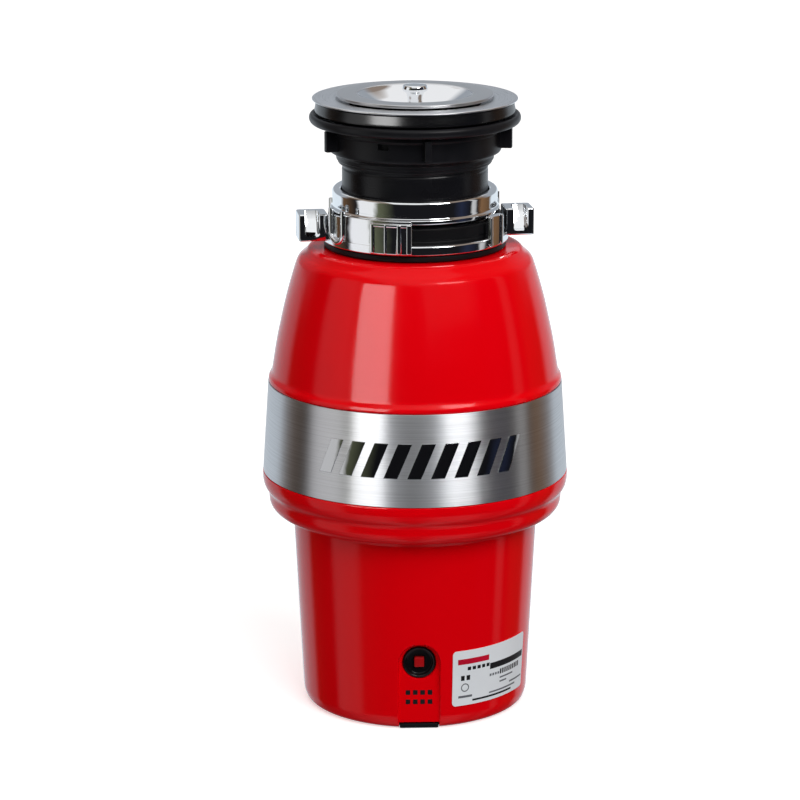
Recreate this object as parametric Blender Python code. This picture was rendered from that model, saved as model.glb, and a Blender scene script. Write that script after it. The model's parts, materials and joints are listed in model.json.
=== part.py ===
"""Kitchen food-waste disposer with a quick-lock sink mount, modelled piece by piece.

Metres, +Z up. The origin is the centre of the underside. The reset button is at the front (-Y) and the
discharge port at the back (+Y). Profiles are lists of (radius, height) in millimetres, and angles are
degrees from +X, anticlockwise seen from above.
"""

import math

import bmesh
import bpy

MM = 0.001
ROUND = 30  # sides of the large turned pieces
INNER = 20  # sides of turned pieces inside the casing
SMALL = 12  # sides of pins and screws
PIPE = 20  # sides of the discharge pipe

# Driving dimensions, millimetres
GAP = 0.35  # clearance between pieces that touch
FRONT, BACK = -90, 90

BASE_R = 63.8  # lower housing just above its rounded foot
WAIST_R, WAIST_Z = 69.0, 109.5  # lower housing under its shoulder
BEAD_R = 86.3  # widest bead, under the trim band
SEAM_Z = 135.6  # where the two housings meet
WALL = 2.5

BAND_LOW_R, BAND_HIGH_R = 86.0, 82.6
BAND_LOW_Z, BAND_HIGH_Z = 136.0, 187.2
BAND_THICK = 0.8
BAND_OPENING = 76  # width left open round the discharge port

PORT_Z, PORT_BORE_R, PORT_WALL_R, PORT_FACE_Y = 158, 17, 20.5, 88
PORT_SCREW_X = 26
ELBOW_BEND_Y, ELBOW_BEND_R, ELBOW_END_Z = 99, 23, 117

RESET_Z, RESET_WELL_R = 39, 9.5
RECESS_HALF, RECESS_BACK = 11.5, 61.3
GUIDE_HALF = 3.1  # half width of the button's square guide

LABEL_START, LABEL_END = FRONT + 16.5, FRONT + 66
LABEL_LOW, LABEL_HIGH = 12.9, 45.6

STATOR_R, STATOR_BORE_R, STATOR_LOW, STATOR_HIGH = 55, 30, 52, 100
ROTOR_R, SHAFT_R = 29.2, 6
SLOTS = 12
BOLT_PCR, BOLT_R = 57.4, 2
BOLT_ANGLES = (45, 135, 225, 315)
BASE_SCREW_PCR = 45
BASE_SCREW_ANGLES = (30, 150, 270)

PLATE_LOW, PLATE_HIGH, PLATE_R = 178, 181, 56  # turntable
IMPELLER_PCR, IMPELLER_REACH = 36, 17.5
GRIND_TEETH = 16

THROAT_R, SLEEVE_R = 38.0, 40.6
RING_R, RING_BORE_R, RING_LOW, RING_HIGH = 52, 49.2, 268.3, 287.4
RING_HALVES = (0, 180)  # the lock ring repeats after half a turn
NUT_WINGS, NUT_WING_FIRST = 5, 275.5
FLANGE_R = 57

INLET_Z, INLET_R, INLET_BORE_R = 218, 10.5, 8
GLAND_Z = 32

FINISHES = {  # colour, metallic, roughness
    "red_gloss": ((0.80, 0.004, 0.006), 0.0, 0.16),
    "chrome": ((0.78, 0.79, 0.81), 1.0, 0.07),
    "brushed_steel": ((0.66, 0.66, 0.67), 1.0, 0.32),
    "polished_steel": ((0.74, 0.74, 0.75), 1.0, 0.12),
    "black_plastic": ((0.018, 0.018, 0.020), 0.0, 0.45),
    "black_rubber": ((0.012, 0.012, 0.013), 0.0, 0.60),
    "cast_aluminium": ((0.62, 0.63, 0.65), 1.0, 0.48),
    "motor_steel": ((0.30, 0.31, 0.33), 1.0, 0.42),
    "copper": ((0.72, 0.30, 0.14), 1.0, 0.35),
    "label_film": ((0.83, 0.84, 0.85), 0.0, 0.40),
    "signal_red": ((0.60, 0.01, 0.01), 0.0, 0.35),
}


def clear_scene():
    for thing in list(bpy.data.objects):
        bpy.data.objects.remove(thing, do_unlink=True)


def finish_material(finish):
    """The Principled material of a finish, made once."""
    material = bpy.data.materials.get(finish)
    if material is None:
        colour, metallic, roughness = FINISHES[finish]
        material = bpy.data.materials.new(finish)
        material.use_nodes = True
        shader = material.node_tree.nodes["Principled BSDF"]
        shader.inputs["Base Color"].default_value = (*colour, 1)
        shader.inputs["Metallic"].default_value = metallic
        shader.inputs["Roughness"].default_value = roughness
        material.diffuse_color = (*colour, 1)
    return material


def add(name, shape, finish):
    """Puts a bmesh into the scene as one object; no finish means a hidden cutter."""
    bmesh.ops.remove_doubles(shape, verts=shape.verts, dist=1e-7)
    bmesh.ops.recalc_face_normals(shape, faces=shape.faces)
    mesh = bpy.data.meshes.new(name)
    shape.to_mesh(mesh)
    shape.free()
    thing = bpy.data.objects.new(name, mesh)
    bpy.context.scene.collection.objects.link(thing)
    if finish is None:
        thing.hide_render = True
        thing.display_type = "WIRE"
    else:
        mesh.materials.append(finish_material(finish))
        mesh.shade_smooth()
        mesh.set_sharp_from_angle(angle=math.radians(32))
    return thing


def turned(name, finish, profile, sides=ROUND):
    """A profile spun once round Z. It is closed, unless both of its ends are on the axis."""
    shape = bmesh.new()
    points = [shape.verts.new((r * MM, 0, z * MM)) for r, z in profile]
    ends_on_axis = profile[0][0] == 0 and profile[-1][0] == 0
    others = points[1:] if ends_on_axis else points[1:] + points[:1]
    edges = [shape.edges.new(pair) for pair in zip(points, others)]
    bmesh.ops.spin(
        shape, geom=points + edges, cent=(0, 0, 0), axis=(0, 0, 1),
        angle=math.tau, steps=sides, use_merge=True,
    )
    return add(name, shape, finish)


def prism(name, finish, outline, bottom, top, top_outline=None):
    """An outline of (x, y) raised from bottom to top; a second outline of as many points tapers it."""
    shape = bmesh.new()
    low = [shape.verts.new((x * MM, y * MM, bottom * MM)) for x, y in outline]
    high = [shape.verts.new((x * MM, y * MM, top * MM)) for x, y in top_outline or outline]
    shape.faces.new(low)
    shape.faces.new(high)
    for i in range(len(low)):
        j = (i + 1) % len(low)
        shape.faces.new((low[i], low[j], high[j], high[i]))
    return add(name, shape, finish)


def block(name, finish, low, high):
    (x0, y0, z0), (x1, y1, z1) = low, high
    return prism(name, finish, [(x0, y0), (x1, y0), (x1, y1), (x0, y1)], z0, z1)


def on_circle(radius, degrees):
    return radius * math.cos(math.radians(degrees)), radius * math.sin(math.radians(degrees))


def arc(centre, radius, start, end, steps):
    """Points along an arc, for a profile or an outline."""
    x, y = centre
    turns = [start + (end - start) * i / steps for i in range(steps + 1)]
    return [(x + dx, y + dy) for dx, dy in (on_circle(radius, turn) for turn in turns)]


def sector_outline(start, end, inner, outer):
    """A piece of a ring, seen from above, with a point about every 7.5 degrees."""
    steps = max(2, round(abs(end - start) / 7.5))
    return arc((0, 0), inner, start, end, steps) + arc((0, 0), outer, end, start, steps)


def sector(name, finish, start, end, radii, heights, top_radii=None):
    """A piece of a ring; top radii make it follow a cone."""
    top_outline = sector_outline(start, end, *top_radii) if top_radii else None
    return prism(name, finish, sector_outline(start, end, *radii), *heights, top_outline)


def cylinder(name, finish, radius, bottom, top, sides=SMALL, at=(0, 0)):
    return prism(name, finish, arc(at, radius, 0, 360 - 360 / sides, sides - 1), bottom, top)


def stadium(half_length, radius, steps=6):
    """A slot outline with round ends, along X."""
    right = arc((half_length, 0), radius, -90, 90, steps)
    return right + arc((-half_length, 0), radius, 90, 270, steps)


def facing(thing, degrees, radius=0, height=0):
    """Turns a piece that was made along +Z so that its +Z points outwards at this angle."""
    x, y = on_circle(radius, degrees)
    thing.location = (x * MM, y * MM, height * MM)
    thing.rotation_euler = (math.radians(90), 0, math.radians(degrees + 90))
    return thing


def moved(thing, x, y, z=0, degrees=0):
    thing.location = (x * MM, y * MM, z * MM)
    thing.rotation_euler = (0, 0, math.radians(degrees))
    return thing


def boolean(thing, other, operation):
    other.hide_render = True
    other.display_type = "WIRE"
    modifier = thing.modifiers.new(f"{operation.lower()} {other.name}", "BOOLEAN")
    modifier.operation = operation
    modifier.object = other
    modifier.solver = "EXACT"


def cut(thing, *cutters):
    for cutter in cutters:
        boolean(thing, cutter, "DIFFERENCE")
    return thing


def join(thing, *others):
    for other in others:
        boolean(thing, other, "UNION")
    return thing


def make_stopper():
    turned("stopper_plate", "polished_steel", [
        (0, 337.6), (9, 337.7), (20, 340.0), (32.2, 348.0), (43.4, 348.2), (43.6, 348.9),
        (43.1, 349.6), (32.2, 349.3), (29.6, 347.1), (19.5, 341.1), (9, 338.9), (0, 338.8),
    ])
    turned("stopper_knob", "polished_steel", [
        (0, 339.2), (5.8, 339.3), (4.3, 342.5), (4.1, 347.5), (6.8, 351.2), (7, 352.6),
        (6.2, 354.0), (0, 354.3),
    ], 16)
    turned("stopper_gasket", "black_rubber", [
        (32.9, 344.4), (35.2, 342.8), (38.6, 345.8), (38.8, 347.7), (32.9, 347.6),
    ])


def make_sink_mount():
    turned("sink_flange", "brushed_steel", [
        (36.4, 300), (37.6, 300), (37.6, 333), (40.4, 341.2), (44.2, 345.2), (56.2, 346.2),
        (FLANGE_R, 346.6), (56.6, 347.4), (46.5, 347.0), (43.2, 346.2), (39.2, 341.4), (36.4, 333),
    ])
    turned("sink_gasket", "black_rubber", [
        (42.6, 339.0), (55.5, 339.0), (55.5, 345.7), (47.0, 345.1), (44.7, 343.2),
    ])
    turned("backing_ring", "black_plastic", [
        (41.1, 333.2), (57.4, 333.2), (58.6, 334.6), (58.6, 337.2), (57.4, 338.6), (41.1, 338.6),
    ])
    turned("threaded_sleeve", "black_plastic", [
        (THROAT_R, 333.2), (THROAT_R, 280.6), (35.4, 280.4), (35.4, 278.2), (SLEEVE_R, 278.2),
        (SLEEVE_R, 280.3), (39.1, 280.3), (39.1, 282.9), (SLEEVE_R, 282.9), (SLEEVE_R, 333.2),
    ])
    splash_guard = turned("splash_guard", "black_rubber", [
        (37.5, 280.9), (37.5, 285), (33.6, 285), (32.4, 281.6), (7, 271.6), (7, 269.6),
        (33, 279.2), (34.4, 280.9),
    ], INNER)
    for number in range(3):
        slit = block(f"slit_{number}", None, (-27, -0.6, 262), (27, 0.6, 290))
        cut(splash_guard, moved(slit, 0, 0, 0, 60 * number))
    snap_ring = turned("snap_ring", "motor_steel", [
        (39.5, 280.6), (43.6, 280.6), (43.6, 282.6), (39.5, 282.6),
    ])
    cut(snap_ring, sector("snap_ring_gap", None, BACK - 12, BACK + 12, (30, 60), (270, 290)))


def make_nut():
    nut = turned("mounting_nut", "black_plastic", [
        (41.1, 311), (42.7, 311.4), (42.7, 316.8), (48, 318), (48, 332.7), (41.1, 332.7),
    ])
    for number in range(NUT_WINGS):
        wing = prism(f"wing_{number}", None, [(46, -1.7), (54.4, -1.5), (54.4, 1.5), (46, 1.7)],
                     320.4, 331.9)
        join(nut, moved(wing, 0, 0, 0, NUT_WING_FIRST + 360 / NUT_WINGS * number))


def make_collar_and_ring():
    """The collar hangs on the sleeve by its tabs' ring; the lock ring's lips sit over those tabs."""
    collar = turned("collar_ring", "chrome", [
        (41.1, 283.3), (45.8, 283.3), (47.1, 285.4), (47.1, 286.9), (46.0, 287.5), (46.1, 295.6),
        (44.8, 297), (41.1, 297),
    ])
    for turn in RING_HALVES:
        tab = sector(f"collar_tab_{turn}", None, 221 + turn, 263 + turn, (45, 48.8), (283.3, 285.4))
        join(collar, tab)
    ring = turned("lock_ring", "chrome", [
        (RING_BORE_R, 270.7), (46.3, 270.7), (46.3, RING_LOW), (RING_R, RING_LOW),
        (RING_R, 274), (RING_BORE_R, 274),
    ])
    for turn in RING_HALVES:
        wall = sector(f"ring_wall_{turn}", None, 219.5 + turn, 265.5 + turn,
                      (RING_BORE_R + 0.2, RING_R - 0.2), (272, RING_HIGH))
        lip = sector(f"ring_lip_{turn}", None, 220 + turn, 265 + turn,
                     (47.6, RING_R - 0.6), (285.9, RING_HIGH - 0.2))
        ribs = sector(f"ring_ribs_{turn}", None, 240.5 + turn, 266 + turn,
                      (RING_R - 0.9, RING_R + 2.2), (269, RING_HIGH - 1.2))
        lug = sector(f"ring_lug_{turn}", None, 318.5 + turn, 333 + turn,
                     (RING_BORE_R + 0.4, RING_R + 1.4), (269, RING_HIGH - 1.2))
        join(ring, wall, lip, ribs, lug)
        join(ring, moved(make_ear(turn), 0, 0, 0, 6.5 + turn))


def make_ear(turn):
    """An ear to push on: a box open to the top and one side, with a thick tip plate."""
    ear = block(f"ear_{turn}", None, (50, -8.5, 269.2), (66, 8.5, 284.4))
    return cut(ear, block(f"ear_pocket_{turn}", None, (54.5, -12, 272.6), (63.2, 5.4, 290)))


def make_cushion():
    turned("cushion_mount", "black_rubber", [
        (43.9, 264.5), (50.9, 264.5), (50.9, 267.9), (45.8, 267.9), (45.8, 271.1), (48.4, 271.4),
        (48.4, 282.4), (46.3, 282.4), (46.3, 277.8), (41.9, 277.8), (41.9, 275.2), (45.8, 274.9),
        (45.8, 271.9), (43.9, 271.6),
    ])


def make_housings():
    outside = [
        (0, 0), (57.9, 0), (62.1, 1.8), (BASE_R, 6), (WAIST_R, WAIST_Z), (71.2, 112.4), (78.6, 112.4),
        (82.6, 116.6), (82.8, 123.8), (85.8, 127.6), (BEAD_R, 131.5), (86.0, SEAM_Z), (0, SEAM_Z),
    ]
    inside = [
        (0, -1), (57.9, -1), (57.9, 2.6), (BASE_R - WALL, 7), (WAIST_R - WALL, WAIST_Z),
        (70.4, 114.9), (77.6, 115.1), (80.0, 118.0), (80.3, 125.6), (83.4, 129.5),
        (83.4, SEAM_Z + 1), (0, SEAM_Z + 1),
    ]
    lower = turned("lower_housing", "red_gloss", outside)
    cavity = turned("housing_cavity", None, inside)
    pad = block("reset_pad", None, (-15, -80, -3), (15, -58.2, 54))
    cut(cavity, pad)
    recess = prism("reset_recess", None,
                   [(-RECESS_HALF, -3), (RECESS_HALF, -3)]
                   + arc((0, RESET_Z), RECESS_HALF, 0, 180, 10), RECESS_BACK, 80)
    well = cylinder("reset_well", None, RESET_WELL_R, 50, 80, INNER, (0, RESET_Z))
    for cutter in (recess, well):
        cutter.rotation_euler = (math.radians(90), 0, 0)
    foot_notch = block("foot_notch", None, (-RECESS_HALF, -80, -3), (RECESS_HALF, -50, 4))
    gland_hole = facing(cylinder("gland_hole", None, 6.0, 50, 80), BACK, 0, GLAND_Z)
    cut(lower, cavity, recess, well, foot_notch, gland_hole)

    upper = turned("upper_housing", "red_gloss", [
        (82.2, BAND_LOW_Z), (84.8, BAND_LOW_Z), (81.4, 187.5), (82.4, 188.0), (82.0, 190.4),
        (80.2, 193.6), (77.6, 210), (72.0, 235.6), (67.2, 251.7), (65.2, 257.6), (61.2, 260.4),
        (59.2, 263.4), (57.0, 264), (46.5, 264), (46.5, 261.4), (56.6, 261.2), (62.4, 254.6),
        (69.2, 235.0), (75.0, 209.6), (78.7, 187.8),
    ])
    port_hole = facing(prism("port_hole", None, [(-35, -30)] + arc((-25, 12), 10, 180, 90, 3)
                             + arc((25, 12), 10, 90, 0, 3) + [(35, -30)], 50, 100), BACK, 0, PORT_Z)
    inlet_hole = facing(cylinder("inlet_hole", None, INLET_R + 0.8, 60, 90), BACK, 0, INLET_Z)
    cut(upper, port_hole, inlet_hole)

    band = turned("trim_band", "brushed_steel", [
        (BAND_LOW_R, BAND_LOW_Z), (BAND_HIGH_R, BAND_HIGH_Z),
        (BAND_HIGH_R - BAND_THICK, BAND_HIGH_Z), (BAND_LOW_R - BAND_THICK, BAND_LOW_Z),
    ], 2 * ROUND)
    cut(band, block("band_opening", None, (-BAND_OPENING / 2, 0, 120), (BAND_OPENING / 2, 120, 200)))


def make_base():
    plate = turned("base_plate", "black_plastic", [
        (0, 0), (56.6, 0), (57.4, 0.8), (57.4, 3.2), (0, 3.2),
    ])
    join(plate, block("foot_tab", None, (-11, -60.9, 0.3), (11, -50, 2.9)))
    for number, degrees in enumerate(BASE_SCREW_ANGLES, 1):
        at = on_circle(BASE_SCREW_PCR, degrees)
        hole = turned(f"base_hole_{number}", None, [
            (0, 6), (2.2, 6), (2.2, 1.7), (3.8, 1.7), (3.8, -2), (0, -2),
        ], 12)
        cut(plate, moved(hole, *at))
        screw = turned(f"base_screw_{number}", "motor_steel", [
            (0, 0.2), (3.0, 0.2), (3.3, 0.5), (3.3, 1.4), (1.7, 1.5), (1.7, 13.4), (0, 13.4),
        ], 12)
        moved(screw, *at)
    label_cone = [housing_radius(z) + 0.2 for z in (LABEL_LOW, LABEL_HIGH)]
    low, high = [(radius, radius + 0.3) for radius in label_cone]
    sector("rating_label", "label_film", LABEL_START, LABEL_END, low, (LABEL_LOW, LABEL_HIGH), high)
    gland = turned("cable_gland", "black_plastic", [
        (3.6, 56.5), (8.4, 56.5), (8.4, 61.2), (5.6, 61.6), (5.6, 65.6), (9.4, 66.0), (9.4, 68.2),
        (6.2, 74), (3.6, 74),
    ], SMALL)
    facing(gland, BACK, 0, GLAND_Z)


def housing_radius(z):
    """The lower housing's outer radius on its straight taper."""
    return BASE_R + (WAIST_R - BASE_R) * (z - 6) / (WAIST_Z - 6)


def square(half):
    return [(-half, -half), (half, -half), (half, half), (-half, half)]


def make_reset():
    body = block("overload_protector", "black_plastic", (-9, -57.8, 30.5), (9, -48.5, 49))
    nose = cylinder("protector_nose", None, RESET_WELL_R - GAP, 54, 61.0, INNER, (0, RESET_Z))
    cup = cylinder("protector_cup", None, 7.6, 58.6, 70, INNER, (0, RESET_Z))
    for piece in (nose, cup):
        piece.rotation_euler = (math.radians(90), 0, 0)
    join(body, nose)
    guide = block("button_guide", None, (-GUIDE_HALF, -70, RESET_Z - GUIDE_HALF),
                  (GUIDE_HALF, -51.4, RESET_Z + GUIDE_HALF))
    cut(body, cup, guide)
    button = prism("reset_button", "signal_red", square(GUIDE_HALF - GAP), -7, 0,
                   square(GUIDE_HALF - GAP - 0.3))
    facing(button, FRONT, 60.9, RESET_Z)


def make_motor():
    frame = turned("lower_end_frame", "cast_aluminium", [
        (5.4, 14), (61, 14), (61, 18.6), (54.5, 19.4), (54.5, 51.6), (49.5, 51.6), (49.5, 20.4),
        (15.4, 20.4), (14.6, 25.6), (11.35, 25.6), (11.35, 16.7), (5.4, 16.7),
    ], INNER)
    cut(frame, block("protector_window", None, (-13, -62, 27), (13, -40, 60)),
        block("frame_flat", None, (-20, -70, 10), (20, -57.8, 24)))
    ring_of_bolts(frame, 2.4, 10, 24)
    for number, degrees in enumerate(BASE_SCREW_ANGLES, 1):
        cut(frame, cylinder(f"frame_hole_{number}", None, 2.05, 10, 24, 12,
                            on_circle(BASE_SCREW_PCR, degrees)))

    stator = turned("stator_core", "motor_steel", [
        (STATOR_BORE_R, STATOR_LOW), (STATOR_R, STATOR_LOW), (STATOR_R, STATOR_HIGH),
        (STATOR_BORE_R, STATOR_HIGH),
    ], ROUND)
    main = turned("main_winding", "copper", coil_section(38.6, 46.0, 34, 47.4), INNER)
    start = turned("start_winding", "copper", coil_section(31.6, 37.4, 36, 47.4), INNER)
    join(main, turned("main_end_turns", None, coil_section(38.6, 46.0, 104.6, 118), INNER))
    join(start, turned("start_end_turns", None, coil_section(31.6, 37.4, 104.6, 116), INNER))
    for number in range(SLOTS):
        degrees = 360 / SLOTS * (number + 0.5)
        slot = block(f"slot_{number}", None, (32.4, -3, 40), (46.2, 3, 110))
        cut(stator, moved(slot, 0, 0, 0, degrees))
        is_start = number % 3 == 0
        inner, outer, coil = (33.2, 36.6, start) if is_start else (39.6, 45.2, main)
        bar = block(f"bar_{number}", None, (inner, -2.4, 46), (outer, 2.4, 106))
        join(coil, moved(bar, 0, 0, 0, degrees))

    turned("rotor", "cast_aluminium", [
        (SHAFT_R + GAP, 46.5), (24, 46.5), (26.5, STATOR_LOW), (ROTOR_R, STATOR_LOW),
        (ROTOR_R, STATOR_HIGH), (26.5, STATOR_HIGH), (24, 105.5), (SHAFT_R + GAP, 105.5),
    ], ROUND)
    turned("shaft", "motor_steel", [
        (0, 6), (3.7, 6), (3.7, 25.4), (SHAFT_R, 26.4), (SHAFT_R, 181.2), (4, 181.4), (4, 189),
        (3.4, 190), (0, 190),
    ], SMALL)
    turned("lower_bearing", "motor_steel", [(4.05, 17), (11, 17), (11, 24), (4.05, 24)], 16)
    turned("upper_bearing", "motor_steel", [(6.35, 123), (16, 123), (16, 133), (6.35, 133)], 16)
    for number, degrees in enumerate(BOLT_ANGLES, 1):
        bolt = turned(f"through_bolt_{number}", "motor_steel", [
            (0, 9.6), (3.6, 9.6), (3.6, 13.6), (BOLT_R, 13.7), (BOLT_R, 136.5), (0, 136.5),
        ], 12)
        moved(bolt, *on_circle(BOLT_PCR, degrees))
    block("start_relay", "black_plastic", (-13, 20, 4.6), (13, 38, 13.4))


def coil_section(inner, outer, low, high):
    """The cross-section of a wound ring, with cut corners."""
    corner = 2
    return [
        (inner, low + corner), (inner + corner, low), (outer, low), (outer, high - corner),
        (outer - corner, high), (inner, high),
    ]


def ring_of_bolts(thing, radius, bottom, top):
    for number, degrees in enumerate(BOLT_ANGLES, 1):
        cut(thing, cylinder(f"{thing.name}_bolt_hole_{number}", None, radius, bottom, top, 12,
                            on_circle(BOLT_PCR, degrees)))


def make_drain_chamber():
    chamber = turned("drain_chamber", "cast_aluminium", [
        (16.35, 121.5), (16.35, 133.6), (6.9, 133.6), (6.9, 158), (13.35, 158), (13.35, 168),
        (17.5, 168), (20, 140.5), (63.7, 140.5), (63.7, 192.6), (70.5, 192.6), (70.5, 189),
        (67.4, 187.4), (67.4, 138), (62, 132), (62, 128),
        (54.5, 128), (54.5, 100.4), (49.5, 100.4), (49.5, 129.5), (22, 129.5), (21, 121.5),
    ], INNER)
    ring_of_bolts(chamber, 2.4, 120, 137.4)
    stub = facing(cylinder("port_stub", None, PORT_WALL_R, 60, PORT_FACE_Y, PIPE), BACK, 0, PORT_Z)
    ears = facing(prism("port_ears", None, stadium(PORT_SCREW_X, 7.5), PORT_FACE_Y - 5.5, PORT_FACE_Y),
                  BACK, 0, PORT_Z)
    bore = facing(cylinder("port_bore", None, PORT_BORE_R, 50, 100, PIPE), BACK, 0, PORT_Z)
    join(chamber, stub, ears)
    cut(chamber, bore, *screw_holes("port", 76, 95))
    turned("shaft_seal", "black_rubber", [
        (6.3, 160), (12.9, 160), (12.9, 167.4), (8.6, 167.4), (6.3, 164),
    ], INNER)


def screw_holes(owner, near, far):
    """Clearance holes for the two screws of the discharge flange."""
    return [
        facing(cylinder(f"{owner}_screw_hole_{side}", None, 2.3, near, far, 12,
                        (PORT_SCREW_X * side, 0)), BACK, 0, PORT_Z)
        for side in (-1, 1)
    ]


def make_discharge():
    gasket = prism("discharge_gasket", "black_rubber", stadium(PORT_SCREW_X, 7.5),
                   PORT_FACE_Y + GAP, PORT_FACE_Y + 2.3)
    disc = cylinder("gasket_disc", None, 23, PORT_FACE_Y + 0.5, PORT_FACE_Y + 2.1, PIPE)
    facing(gasket, BACK, 0, PORT_Z)
    join(gasket, facing(disc, BACK, 0, PORT_Z))
    cut(gasket, facing(cylinder("gasket_bore", None, PORT_BORE_R, 80, 100, PIPE), BACK, 0, PORT_Z),
        *screw_holes("gasket", 80, 100))

    elbow = make_elbow("discharge_elbow", "black_plastic", 19.4, PORT_FACE_Y + 2.7)
    collar = facing(cylinder("elbow_collar", None, 22.4, PORT_FACE_Y + 2.7, PORT_FACE_Y + 6, PIPE),
                    BACK, 0, PORT_Z)
    join(elbow, collar)
    cut(elbow, make_elbow("elbow_bore", None, PORT_BORE_R, PORT_FACE_Y - 3, 4))

    plate = prism("discharge_flange", "cast_aluminium", stadium(PORT_SCREW_X, 7.5),
                  PORT_FACE_Y + 6.4, PORT_FACE_Y + 9)
    rim = cylinder("flange_rim", None, 24, PORT_FACE_Y + 6.6, PORT_FACE_Y + 8.8, PIPE)
    facing(plate, BACK, 0, PORT_Z)
    join(plate, facing(rim, BACK, 0, PORT_Z))
    cut(plate, facing(cylinder("flange_bore", None, 20.2, 80, 110, PIPE), BACK, 0, PORT_Z),
        *screw_holes("flange", 80, 110))
    for number, side in enumerate((-1, 1), 1):
        screw = turned(f"flange_screw_{number}", "motor_steel", [
            (0, 81), (1.9, 81), (1.9, 97.3), (4, 97.4), (4, 100), (3, 100.8), (0, 100.8),
        ], 12)
        screw.location = (PORT_SCREW_X * side * MM, 0, PORT_Z * MM)
        screw.rotation_euler = (math.radians(-90), 0, 0)


def make_elbow(name, finish, radius, start_y, past_end=0):
    """A pipe that runs back from the port, bends down and ends facing the floor."""
    centre_z = PORT_Z - ELBOW_BEND_R
    stations = [(start_y, PORT_Z, 0)]
    for turn in range(0, 91, 18):
        along, up = on_circle(ELBOW_BEND_R, 90 - turn)
        stations.append((ELBOW_BEND_Y + along, centre_z + up, turn))
    stations.append((ELBOW_BEND_Y + ELBOW_BEND_R, ELBOW_END_Z - past_end, 90))
    shape = bmesh.new()
    rings = []
    for y, z, turn in stations:
        across = [on_circle(radius, 360 / PIPE * i) for i in range(PIPE)]
        tilt = math.radians(turn)
        rings.append([
            shape.verts.new((x * MM, (y + up * math.sin(tilt)) * MM, (z + up * math.cos(tilt)) * MM))
            for x, up in across
        ])
    for near, far in zip(rings, rings[1:]):
        for i in range(PIPE):
            j = (i + 1) % PIPE
            shape.faces.new((near[i], near[j], far[j], far[i]))
    shape.faces.new(rings[0])
    shape.faces.new(rings[-1])
    return add(name, shape, finish)


def make_grinder():
    hopper = turned("hopper", "polished_steel", [
        (64.4, 193), (70.4, 193), (70.4, 194.4), (66.2, 195), (66.0, 224), (60.5, 242),
        (48, 253), (43.5, 259), (43.5, 272.4), (45.3, 272.8), (45.3, 274.2), (42.3, 274.2),
        (42.3, 258.4), (47.4, 251.7), (59.4, 241.2), (64.4, 224),
    ])
    cut(hopper, facing(cylinder("hopper_inlet", None, INLET_BORE_R + 0.2, 50, 80), BACK, 0, INLET_Z))
    grind_ring = turned("grind_ring", "motor_steel", [
        (57.8, 179), (63.3, 179), (63.3, 192.2), (57.8, 192.2),
    ], INNER)
    for number in range(GRIND_TEETH):
        notch = block(f"notch_{number}", None, (50, -2.2, 181.5), (60.6, 2.2, 200))
        cut(grind_ring, moved(notch, 0, 0, 0, 360 / GRIND_TEETH * number))

    plate = turned("turntable", "polished_steel", [
        (SHAFT_R + GAP, 169.6), (12, 169.6), (12.6, 176.5), (15, PLATE_LOW), (PLATE_R, PLATE_LOW),
        (PLATE_R, PLATE_HIGH), (SHAFT_R + GAP, PLATE_HIGH),
    ], ROUND)
    for number in range(8):
        slot = block(f"turntable_slot_{number}", None, (53.2, -2, 170), (60, 2, 190))
        cut(plate, moved(slot, 0, 0, 0, 22.5 + 45 * number))
    nut = cylinder("turntable_nut", "motor_steel", 7.6, 181.6, 187.6, 6)
    cut(nut, cylinder("nut_bore", None, 4.3, 170, 200))

    for number, degrees in enumerate((0, 180), 1):
        x, y = on_circle(IMPELLER_PCR, degrees)
        cut(plate, cylinder(f"pin_hole_{number}", None, 3.3, 170, 190, SMALL, (x, y)))
        outline = arc((0, 0), 7, 90, 270, 6) + arc((IMPELLER_REACH - 4, 0), 4, -60, 60, 4)
        impeller = prism(f"impeller_{number}", "polished_steel", outline, 181.5, 188.6)
        cut(impeller, cylinder(f"impeller_bore_{number}", None, 3.3, 170, 200, SMALL, (x, y)))
        moved(impeller, x, y, 0, degrees + 40)
        pin = turned(f"impeller_pin_{number}", "motor_steel", [
            (0, 175.4), (4.6, 175.4), (4.6, 177.6), (3, 177.65), (3, 188.9), (4.8, 189), (4.8, 190.4),
            (3.6, 191.2), (0, 191.2),
        ], SMALL)
        moved(pin, x, y)


def make_dishwasher_inlet():
    inlet = turned("dishwasher_inlet", "black_plastic", [
        (0, 66.6), (12.4, 66.6), (12.4, 68.2), (INLET_R, 68.8), (INLET_R, 92), (INLET_R - 0.8, 93),
        (INLET_BORE_R, 93), (INLET_BORE_R, 70), (0, 70),
    ], INNER)
    facing(inlet, BACK, 0, INLET_Z)


def main():
    clear_scene()
    make_stopper()
    make_sink_mount()
    make_nut()
    make_collar_and_ring()
    make_cushion()
    make_housings()
    make_base()
    make_reset()
    make_motor()
    make_drain_chamber()
    make_discharge()
    make_grinder()
    make_dishwasher_inlet()


main()
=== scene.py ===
"""Kitchen food-waste disposer: finished surfaces, materials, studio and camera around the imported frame.

Shapes are worked out in millimetres on grids of points and written to meshes in metres, in the frame's
own axes: +Z up, the reset button at the front (-Y), the discharge port at the back (+Y). Angles are degrees
from +X, anticlockwise seen from above.
"""

import json
import math

import bmesh
import bpy
import numpy as np
from bpy.props import FloatProperty, FloatVectorProperty, IntProperty, PointerProperty
from mathutils import Matrix, Vector

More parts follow.
